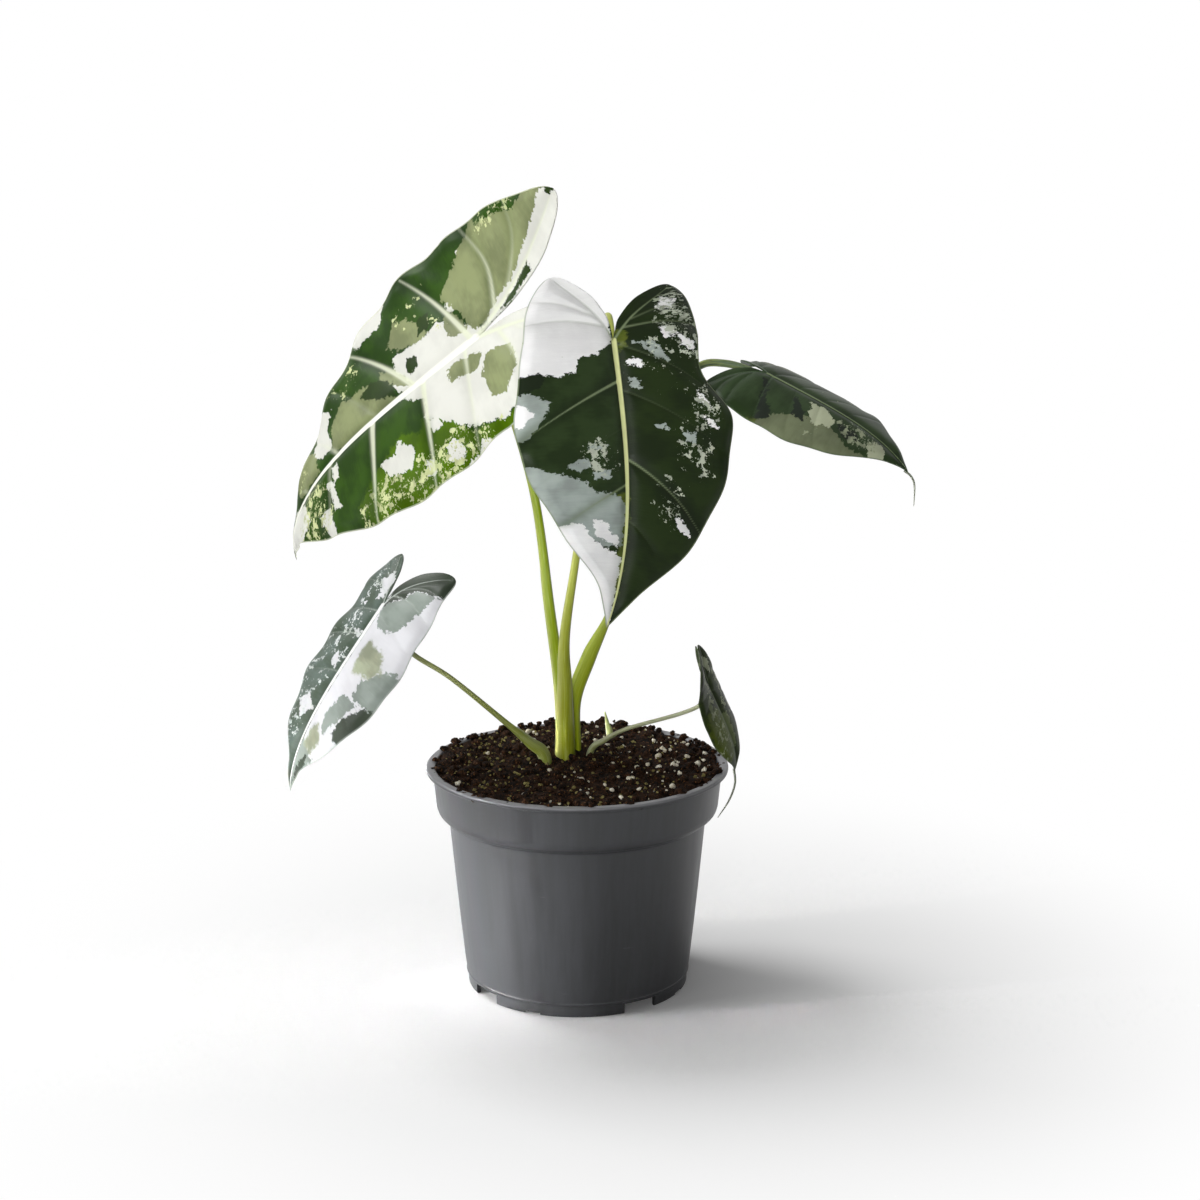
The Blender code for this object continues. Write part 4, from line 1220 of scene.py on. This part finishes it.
def shoot_route():
    """Points of the new shoot: a straight spike with a blunt foot."""
    x, y = SHOOT_FOOT
    low, half_way, high = SHOOT_RADII
    foot = (x, y, SOIL_EDGE_Z - SHOOT_DEPTH)
    collar = (x, y, SOIL_EDGE_Z + STALK_UPRIGHT)
    middle = (np.array(collar) + np.array(SHOOT_TOP)) / 2
    return [(*foot, low), (*collar, low), (*middle, half_way), (*SHOOT_TOP, high)]


def tube_frames(centres):
    """Directions along a line and two directions across it that don't spin."""
    ahead = np.gradient(centres, axis=0)
    ahead /= np.linalg.norm(ahead, axis=1, keepdims=True)
    first = np.zeros_like(centres)
    side = np.array([1.0, 0.0, 0.0])
    for index, direction in enumerate(ahead):
        side = side - direction * (side @ direction)
        side /= np.linalg.norm(side)
        first[index] = side
    return ahead, first, np.cross(ahead, first)


def stalk_shape(reach, turn, sheath):
    """How far the skin stands off the plain round section: fine ribs, and a sheath with two wings."""
    start, end, direction, height = sheath
    off = np.angle(np.exp(1j * (turn - math.radians(direction))))
    along = smooth_step(start, start + SHEATH_FADE_IN, reach)
    along = along * (1.0 - smooth_step(end - SHEATH_FADE_OUT, end, reach))
    wings = bell(np.abs(off) - WING_TURN, WING_WIDTH) - FURROW_DEPTH * bell(off, FURROW_WIDTH)
    return 1.0 + height * along * wings + RIB_HEIGHT * np.cos(RIB_COUNT * turn)


def build_tube(name, route, spacing, sides, sheath, slot, material):
    """A closed tube with a lengthwise grain, from route points (x, y, z, radius)."""
    samples = smooth_route(route, spacing)
    centres, radii = samples[:, :3], samples[:, 3]
    travelled = travel(centres)
    reach = travelled / travelled[-1]
    ahead, first, second = tube_frames(centres)
    turn = np.linspace(0.0, 2.0 * math.pi, sides, endpoint=False)
    stand = stalk_shape(reach[:, None], turn[None, :], sheath) * radii[:, None]
    ring = np.cos(turn)[None, :, None] * first[:, None] + np.sin(turn)[None, :, None] * second[:, None]
    skin = centres[:, None] + stand[..., None] * ring
    foot = centres[0] - ahead[0] * FOOT_CAP * radii[0]
    tip = centres[-1] + ahead[-1] * TIP_CAP * radii[-1]
    faces = ring_faces(len(centres), sides, outward=True)
    tube = mesh_object(name, np.vstack([skin.reshape(-1, 3), foot, tip]), faces, material)
    grain = np.zeros((skin[..., 0].size + 2, 3))
    grain[:-2, 0] = (2.0 * np.sin(turn)[None, :] * radii[:, None]).ravel()
    grain[:-2, 1] = np.repeat(travelled, sides)
    grain[:-2, 2] = (2.0 * np.cos(turn)[None, :] * radii[:, None]).ravel()
    grain[-1, 1] = travelled[-1]
    vector_attribute(tube, "grain", grain)
    number_attribute(tube, "reach", np.concatenate([np.repeat(reach, sides), [0.0, 1.0]]))
    # How far each point faces the side of the stalk that gets painted light.
    toward_lit_side = (ring @ np.array(PAINTED_LIGHT_SIDE)).ravel()
    number_attribute(tube, "painted_lit_side", np.concatenate([toward_lit_side, [0.0, 0.0]]))
    return tube


def stalk_skin(name, tones):
    return stalk_material(name + "_skin", *(colour(*tone) for tone in tones))


def build_stalks():
    """The five stalks and the new shoot."""
    for name, looks in STALK_LOOKS.items():
        skin = stalk_skin(name, looks["tones"])
        size = (STALK_SPACING, STALK_SIDES)
        tube = build_tube(name + "_petiole", stalk_route(name), *size, looks["sheath"], "stalk_green", skin)
        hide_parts(name)
    skin = stalk_skin("new_shoot", SHOOT_TONES)
    size = (SHOOT_SPACING, SHOOT_SIDES)
    shoot = build_tube("new_shoot_spike", shoot_route(), *size, SHOOT_SHEATH, "shoot_green", skin)
    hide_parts("new_shoot")


def build_drip_tips():
    """The thin dried tails that hang from the tips of two leaves."""
    skin = stalk_skin("drip_tip", DRIP_TONES)
    for name, points in DRIP_TIPS.items():
        tip = rib_path(LEAVES[name])[1][-1]
        route = np.array(points) + (*tip, 0.0)
        size = (DRIP_SPACING, DRIP_SIDES)
        build_tube(name + "_drip_tip", route, *size, DRIP_SHEATH, "blade_variegated", skin)


# --- Pot ---------------------------------------------------------------------
def body_radius(z):
    """Outer radius of the tapered wall below the collar."""
    share = (z - RIDGE_Z) / (STEP_Z - RIDGE_Z)
    return BASE_RADIUS + (STEP_RADIUS - BASE_RADIUS) * share ** WALL_BULGE


def pot_inner_wall():
    """Inner wall from the base plate up to the rim."""
    plate_top = PLATE_Z + WALL
    levels = (plate_top, 12.0, 24.0, 40.0, 56.0, STEP_Z + WALL)
    wall = [(body_radius(max(z, RIDGE_Z)) - WALL, z) for z in levels]
    wall.append((COLLAR_FOOT_RADIUS - WALL, COLLAR_FOOT_Z + 1.0))
    wall.append((COLLAR_TOP_RADIUS - WALL, POT_HEIGHT - 1.0))
    return wall


def pot_profile():
    """Closed outline: inner floor, inner wall, rim, outer wall, underside."""
    plate_top = PLATE_Z + WALL
    inner_floor = [(0.0, WALL), (PAD_RADIUS - 1.5, WALL), (PAD_RADIUS + PAD_SLOPE - 1.5, plate_top)]
    rim = [(COLLAR_TOP_RADIUS - WALL + 0.5, POT_HEIGHT), (RIM_RADIUS - 0.5, POT_HEIGHT)]
    lip = [
        (RIM_RADIUS, POT_HEIGHT - 0.5),
        (RIM_RADIUS - 0.1, POT_HEIGHT - LIP_DROP),
        (COLLAR_TOP_RADIUS + 0.3, POT_HEIGHT - LIP_DROP - 0.3),
        (COLLAR_TOP_RADIUS - 0.1, POT_HEIGHT - LIP_DROP - 1.2),
    ]
    collar = [
        (COLLAR_FOOT_RADIUS, COLLAR_FOOT_Z),
        (COLLAR_FOOT_RADIUS - 0.6, COLLAR_FOOT_Z - 1.8),
        (COLLAR_FOOT_RADIUS - 2.2, STEP_Z + 0.7),
        (STEP_RADIUS + 0.9, STEP_Z),
    ]
    wall = [(body_radius(z), z) for z in (STEP_Z - 1.0, 56.0, 40.0, 24.0, 12.0, RIDGE_Z + 0.6)]
    ridge = [(BASE_RADIUS + 0.35, RIDGE_Z), (FOOT_RADIUS + 0.1, RIDGE_Z - 0.7)]
    foot = [(FOOT_RADIUS, 0.5), (FOOT_RADIUS - 0.4, 0.0), (FOOT_INNER_RADIUS, 0.0)]
    underside = [
        (FOOT_INNER_RADIUS, PLATE_Z),
        (PAD_RADIUS + PAD_SLOPE, PLATE_Z),
        (PAD_RADIUS, 0.0),
        (0.0, 0.0),
    ]
    return inner_floor + pot_inner_wall() + rim + lip + collar + wall + ridge + foot + underside


def eased(profile):
    """The same outline with each inner corner turned into a small curve."""
    points = np.array(profile, dtype=float)
    curve = [points[0]]
    for before, corner, after in zip(points, points[1:], points[2:]):
        near, far = (
            corner + (other - corner) * min(CORNER_LARGEST, CORNER_REACH / np.linalg.norm(other - corner))
            for other in (before, after)
        )
        for t in np.linspace(0.0, 1.0, CORNER_STEPS):
            curve.append((1 - t) ** 2 * near + 2 * t * (1 - t) * corner + t * t * far)
    curve.append(points[-1])
    return np.array(curve)


def turned_mesh(profile, steps):
    """Vertices and faces of a closed (radius, z) outline turned about Z; its ends lie on the axis."""
    turn = np.linspace(0.0, 2.0 * math.pi, steps, endpoint=False)
    inner = profile[1:-1]
    ring = np.stack([
        inner[:, None, 0] * np.cos(turn)[None, :],
        inner[:, None, 0] * np.sin(turn)[None, :],
        np.repeat(inner[:, 1:2], steps, axis=1),
    ], axis=-1)
    ends = [[0.0, 0.0, profile[0, 1]], [0.0, 0.0, profile[-1, 1]]]
    return np.vstack([ring.reshape(-1, 3), ends]), ring_faces(len(inner), steps, outward=False)


def boxes_mesh(name, boxes):
    """One mesh of turned boxes, each given by its ranges in millimetres and its turn about Z."""
    bm = bmesh.new()
    for *ranges, turn in boxes:
        made = bmesh.ops.create_cube(bm, size=1.0)["verts"]
        for vert in made:
            for axis, (low, high) in enumerate(ranges):
                vert.co[axis] = (low + (vert.co[axis] + 0.5) * (high - low)) * MM
        bmesh.ops.rotate(bm, verts=made, matrix=Matrix.Rotation(math.radians(turn), 3, "Z"))
    mesh = bpy.data.meshes.new(name)
    bm.to_mesh(mesh)
    bm.free()
    return mesh


def foot_boxes():
    """Drain notches in the foot ring, and a shallow relief under each foot."""
    half_notch = FOOT_RADIUS * math.sin(math.radians(NOTCH_ANGLE / 2))
    half_relief = FOOT_RADIUS * math.sin(math.radians(RELIEF_ANGLE / 2))
    ring = (FOOT_INNER_RADIUS - CUTTER_REACH, FOOT_RADIUS + CUTTER_REACH)
    boxes = []
    for index in range(NOTCH_COUNT):
        angle = FIRST_NOTCH + index * 360.0 / NOTCH_COUNT
        for half, top, turn in (
            (half_notch, PLATE_Z - 0.05, angle),
            (half_relief, RELIEF_HEIGHT, angle + RELIEF_OFFSET),
        ):
            boxes.append((ring, (-half, half), (-CUTTER_DROP, top), turn))
    return boxes


def drain_mesh():
    """Round plugs that cut the drain holes."""
    bm = bmesh.new()
    size = {"radius1": DRAIN_RADIUS * MM, "radius2": DRAIN_RADIUS * MM, "depth": 2.0 * CUTTER_REACH * MM}
    for index in range(DRAIN_COUNT):
        made = bmesh.ops.create_cone(bm, cap_ends=True, segments=32, **size)["verts"]
        angle = math.radians((index + 0.5) * 360.0 / DRAIN_COUNT)
        centre = (DRAIN_CIRCLE * math.cos(angle), DRAIN_CIRCLE * math.sin(angle), PLATE_Z + WALL / 2)
        bmesh.ops.translate(bm, verts=made, vec=Vector(centre) * MM)
    mesh = bpy.data.meshes.new("drain_plugs")
    bm.to_mesh(mesh)
    bm.free()
    return mesh


def cut_away(piece, meshes):
    """Apply Boolean cuts by the given meshes, and leave none of the cutters behind."""
    cutters = []
    for mesh in meshes:
        cutter = bpy.data.objects.new(mesh.name, mesh)
        bpy.context.scene.collection.objects.link(cutter)
        cutters.append(cutter)
        cut = piece.modifiers.new(mesh.name, "BOOLEAN")
        cut.operation = "DIFFERENCE"
        cut.solver = "EXACT"
        cut.object = cutter
    bpy.context.view_layer.update()
    evaluated = piece.evaluated_get(bpy.context.evaluated_depsgraph_get())
    finished = bpy.data.meshes.new_from_object(evaluated)
    piece.modifiers.clear()
    piece.data = finished
    for cutter in cutters:
        bpy.data.objects.remove(cutter, do_unlink=True)


def build_pot():
    """The nursery pot, turned in one piece, with its notches, reliefs and drain holes cut away."""
    vertices, faces = turned_mesh(eased(pot_profile()), POT_STEPS)
    pot = mesh_object("nursery_pot", vertices, faces, pot_material())
    cut_away(pot, [boxes_mesh("foot_boxes", foot_boxes()), drain_mesh()])
    pot.data.shade_smooth()
    pot.data.set_sharp_from_angle(angle=math.radians(POT_SHARP_ANGLE))
    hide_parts("pot")


# --- Soil --------------------------------------------------------------------
SOIL_STEPS = 300
SOIL_RINGS = 120
SOIL_GAP = 0.35
SOIL_WALL_GAP = 0.6
SOIL_RIM_GAP = 0.3
SOIL_PAD_GAP = 1.9
SOIL_CROWDING = 0.75
SOIL_BACK = (5.0, 45.0, 1.2)
# Loose peat is noise and cells, as (steps per millimetre, height) and, for cells, their level.
PEAT_LUMPS = (0.2, 1.3)
PEAT_GRIT = (2.3, 0.45)
PEAT_CLODS = (0.33, 1.5, 0.5)
PEAT_BITS = (0.8, 1.0, 0.4)
PEAT_DROP = 0.2
PEAT_EDGE = (0.35, 2.5)
# Grains lie thicker toward their lean. A size is smallest + spread * draw ** power.
LITTER_SEED = 17
LITTER = {
    "peat_crumbs": {"count": 620, "on_rim": 260, "lean": (0.0, 0.0), "sizes": (0.45, 1.5, 2.0)},
    "perlite": {"count": 170, "on_rim": 0, "lean": (0.8, 0.1), "sizes": (0.28, 1.15, 2.4)},
    "moss_specks": {"count": 420, "on_rim": 0, "lean": (-0.9, -0.1), "sizes": (0.25, 0.55, 1.0)},
}
GRAIN_SHAPES = 6
GRAIN_LUMPS = ((1.1, 0.0, 0.55), (2.7, 4.0, 0.25))
GRAIN_SQUASH = (1.0, 1.0, 0.8)
GRAIN_SINK = 0.25
GRAIN_TILT = 0.7
LITTER_REACH = 53.5
LITTER_ON_RIM = (54.5, 58.2)
STALKS_CENTRE = (-2.0, 10.0)
STALKS_CLEAR = 9.0


def away_from(centre, x, y):
    return np.hypot(x - centre[0], y - centre[1])


def soil_height(x, y):
    """Height of the soil at points: a mound and a heap, a rise to the back, and a slight ripple."""
    mound = SOIL_MOUND * bell(away_from(SOIL_MOUND_CENTRE, x, y), SOIL_MOUND_SPREAD)
    heap = SOIL_HEAP * bell(away_from(SOIL_HEAP_CENTRE, x, y), SOIL_HEAP_SPREAD)
    start, reach, power = SOIL_BACK
    back = SOIL_BACK_RISE * np.clip((y - start) / reach, 0.0, 1.0) ** power
    ripple = SOIL_RIPPLE * (np.sin(0.31 * x + 1.0) * np.cos(0.27 * y) + np.sin(0.19 * x - 0.23 * y))
    return SOIL_EDGE_Z + mound + back + ripple + heap


def crumble(x, y):
    """Lumps, grit, clods and bits of loose peat at one point, in millimetres."""
    place = Vector((x, y, 7.0))
    rise = 0.0
    for steps, height in (PEAT_LUMPS, PEAT_GRIT):
        rise += noise.noise(place * steps) * height
    for steps, height, level in (PEAT_CLODS, PEAT_BITS):
        rise += (level - noise.voronoi(place * steps)[0][0]) * height
    return rise


def build_soil(material):
    """Crumbly potting mix that fills the pot."""
    floor = WALL + SOIL_GAP
    top_radius = COLLAR_TOP_RADIUS - WALL - SOIL_GAP - SOIL_RIM_GAP
    shares = np.linspace(0.0, 1.0, SOIL_RINGS) ** SOIL_CROWDING
    rings = [(top_radius * share, SOIL_EDGE_Z) for share in shares]
    wall = [(radius - SOIL_WALL_GAP, z) for radius, z in pot_inner_wall()[1:-1]]
    under = [
        (pot_inner_wall()[0][0] - SOIL_WALL_GAP, PLATE_Z + floor),
        (PAD_RADIUS + PAD_SLOPE - SOIL_PAD_GAP, PLATE_Z + floor),
        (PAD_RADIUS - SOIL_PAD_GAP, floor),
        (0.0, floor),
    ]
    vertices, faces = turned_mesh(np.array(rings + wall[::-1] + under), SOIL_STEPS)
    top = vertices[:, 2] > SOIL_EDGE_Z - 0.01
    x, y = vertices[top, 0], vertices[top, 1]
    rough = np.array([crumble(*spot) for spot in zip(x, y)])
    at_edge, reach = PEAT_EDGE
    rough *= at_edge + (1.0 - at_edge) * smooth_step(0.0, reach, top_radius - np.hypot(x, y))
    vertices[top, 2] = soil_height(x, y) + rough - PEAT_DROP
    soil = mesh_object("potting_mix", vertices, [face[::-1] for face in faces], material)
    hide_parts("soil")


def lump_meshes():
    """A few irregular pebble shapes of unit size."""
    shapes = []
    for seed in range(GRAIN_SHAPES):
        bm = bmesh.new()
        bmesh.ops.create_icosphere(bm, subdivisions=2, radius=1.0)
        for vert in bm.verts:
            shift = 0.0
            for steps, offset, height in GRAIN_LUMPS:
                shift += noise.noise(vert.co * steps + Vector((seed * 9.0, offset, 0.0))) * height
            vert.co *= 1.0 + shift
        polygons = [[vert.index for vert in face.verts] for face in bm.faces]
        shapes.append((np.array([vert.co[:] for vert in bm.verts]), polygons))
        bm.free()
    return shapes


def scatter(name, material, rng, spots, sizes):
    """One piece of loose grains lying on the soil."""
    shapes = lump_meshes()
    vertices, faces = [], []
    offset = 0
    for (x, y), size in zip(spots, sizes):
        points, polygons = shapes[rng.integers(len(shapes))]
        spin = Matrix.Rotation(rng.uniform(0.0, math.tau), 3, "Z")
        spin @= Matrix.Rotation(rng.uniform(-GRAIN_TILT, GRAIN_TILT), 3, "X")
        grain = (points * GRAIN_SQUASH) @ np.array(spin).T * size
        vertices.append(grain + (x, y, float(soil_height(x, y)) + crumble(x, y) + size * GRAIN_SINK))
        faces += [[corner + offset for corner in face] for face in polygons]
        offset += len(points)
    mesh_object(name, np.vstack(vertices), faces, material)


def soil_spots(rng, count, lean_x, lean_y):
    """Places on the soil, thicker toward one side, and clear of the stalks' feet."""
    spots = []
    while len(spots) < count:
        x, y = rng.uniform(-LITTER_REACH, LITTER_REACH, 2)
        if math.hypot(x, y) > LITTER_REACH or away_from(STALKS_CENTRE, x, y) < STALKS_CLEAR:
            continue
        if rng.uniform() < 0.5 + (lean_x * x + lean_y * y) / (2.0 * LITTER_REACH):
            spots.append((x, y))
    return spots


def rim_spots(rng, count):
    """Places on the inner edge of the pot's rim."""
    turn = rng.uniform(0.0, math.tau, count)
    away = rng.uniform(*LITTER_ON_RIM, count)
    return list(zip(away * np.cos(turn), away * np.sin(turn)))


def build_litter(peat):
    """Crumbs, perlite and moss on the soil."""
    rng = np.random.default_rng(LITTER_SEED)
    skins = {
        "peat_crumbs": peat,
        "perlite": grain_material("perlite_chalk", *PERLITE_TONES),
        "moss_specks": grain_material("moss_specks_green", *MOSS_TONES),
    }
    for name, grains in LITTER.items():
        spots = soil_spots(rng, grains["count"], *grains["lean"]) + rim_spots(rng, grains["on_rim"])
        smallest, spread, power = grains["sizes"]
        sizes = smallest + spread * rng.uniform(size=len(spots)) ** power
        scatter(name, skins[name], rng, spots, sizes)


# --- Stage -------------------------------------------------------------------
WHITE = (1.0, 1.0, 1.0)
FLOOR_GREY = (0.9, 0.9, 0.9)
FLOOR_HALF = 6.0
FLOOR_WHITE_FROM = 0.3
AMBIENT_LEFT = 0.27
AMBIENT_RIGHT = 0.04
AMBIENT_TURN = 0.8
# A lamp is a disk with (place, target, diameter, power, spread in degrees), in metres and watts.
LAMPS = {
    "key_window": ((-0.80, 0.50, 1.07), (0.0, 0.0, 0.14), 0.6, 11.4, 180.0),
    "side_window": ((-1.12, -0.26, 0.50), (0.0, 0.0, 0.14), 0.7, 8.2, 180.0),
    "pot_fill": ((-0.97, -0.24, 0.08), (0.0, 0.0, 0.035), 0.08, 0.13, 12.0),
    "leaf_fill": ((-0.06, -0.80, 0.37), (0.03, 0.0, 0.27), 0.3, 0.27, 30.0),
}


def seen_directly(nodes):
    """One for rays that see, mirror or pass through to the surface, and zero for rays that light it."""
    path = nodes.node("ShaderNodeLightPath").outputs
    seen = nodes.math("ADD", path["Is Camera Ray"], path["Is Glossy Ray"])
    return nodes.math("MINIMUM", nodes.math("ADD", seen, path["Is Transmission Ray"]), 1.0)


def build_floor():
    """A pale floor that keeps the shadow near the object and turns plain white further off."""
    nodes = Nodes("pale_floor")
    length = nodes.node("ShaderNodeVectorMath", nodes.place(), operation="LENGTH").outputs["Value"]
    far = nodes.ranged(length, 0.0, FLOOR_WHITE_FROM)
    seen = nodes.node("ShaderNodeLightPath").outputs["Is Camera Ray"]
    diffuse = nodes.shader("ShaderNodeBsdfDiffuse", nodes.mix(seen, FLOOR_GREY, WHITE))
    white = nodes.shader("ShaderNodeEmission", WHITE, 1.0)
    share = nodes.math("MULTIPLY", far, seen_directly(nodes))
    skin = nodes.finish(nodes.shader("ShaderNodeMixShader", share, diffuse, white))
    mesh = bpy.data.meshes.new("studio_floor")
    turns = ((-1, -1), (1, -1), (1, 1), (-1, 1))
    mesh.from_pydata([(x * FLOOR_HALF, y * FLOOR_HALF, 0.0) for x, y in turns], [], [(0, 1, 2, 3)])
    mesh.materials.append(skin)
    floor = bpy.data.objects.new("studio_floor", mesh)
    bpy.context.scene.collection.objects.link(floor)


def build_world():
    """Dim ambient light, brighter from the left, and plain white to the eye and in gloss."""
    nodes = Nodes("studio_white", of_world=True)
    across = nodes.axis(nodes.place("Generated"), 0)
    strength = nodes.ranged(across, -AMBIENT_TURN, AMBIENT_TURN, AMBIENT_LEFT, AMBIENT_RIGHT)
    soft = nodes.shader("ShaderNodeBackground", WHITE, strength)
    plain = nodes.shader("ShaderNodeBackground", WHITE, 1.0)
    blend = nodes.shader("ShaderNodeMixShader", seen_directly(nodes), soft, plain)
    bpy.context.scene.world = nodes.finish(blend)


def aim(obj, place, target):
    obj.location = place
    obj.rotation_euler = (Vector(target) - Vector(place)).to_track_quat("-Z", "Y").to_euler()


def build_lamps():
    for name, (place, target, size, power, spread) in LAMPS.items():
        data = bpy.data.lights.new(name, "AREA")
        data.shape = "DISK"
        data.size = size
        data.energy = power
        data.spread = math.radians(spread)
        lamp = bpy.data.objects.new(name, data)
        bpy.context.scene.collection.objects.link(lamp)
        aim(lamp, place, target)


def build_camera():
    elevation = math.radians(CAMERA_ELEVATION)
    back = Vector((0.0, -math.cos(elevation), math.sin(elevation)))
    target = Vector(CAMERA_TARGET) * MM
    data = bpy.data.cameras.new("portrait")
    data.lens = CAMERA_LENS
    data.sensor_width = 36.0
    data.clip_start = 0.01
    camera = bpy.data.objects.new("portrait", data)
    bpy.context.scene.collection.objects.link(camera)
    aim(camera, target + back * CAMERA_DISTANCE * MM, target)
    bpy.context.scene.camera = camera


def main():
    bpy.context.scene.view_settings.view_transform = "Standard"
    build_world()
    build_lamps()
    build_camera()
    build_floor()
    build_pot()
    peat = soil_material("peat", *PEAT_TONES)
    build_soil(peat)
    build_litter(peat)
    build_stalks()
    build_drip_tips()
    for name in LEAVES:
        build_blade(name)


main()
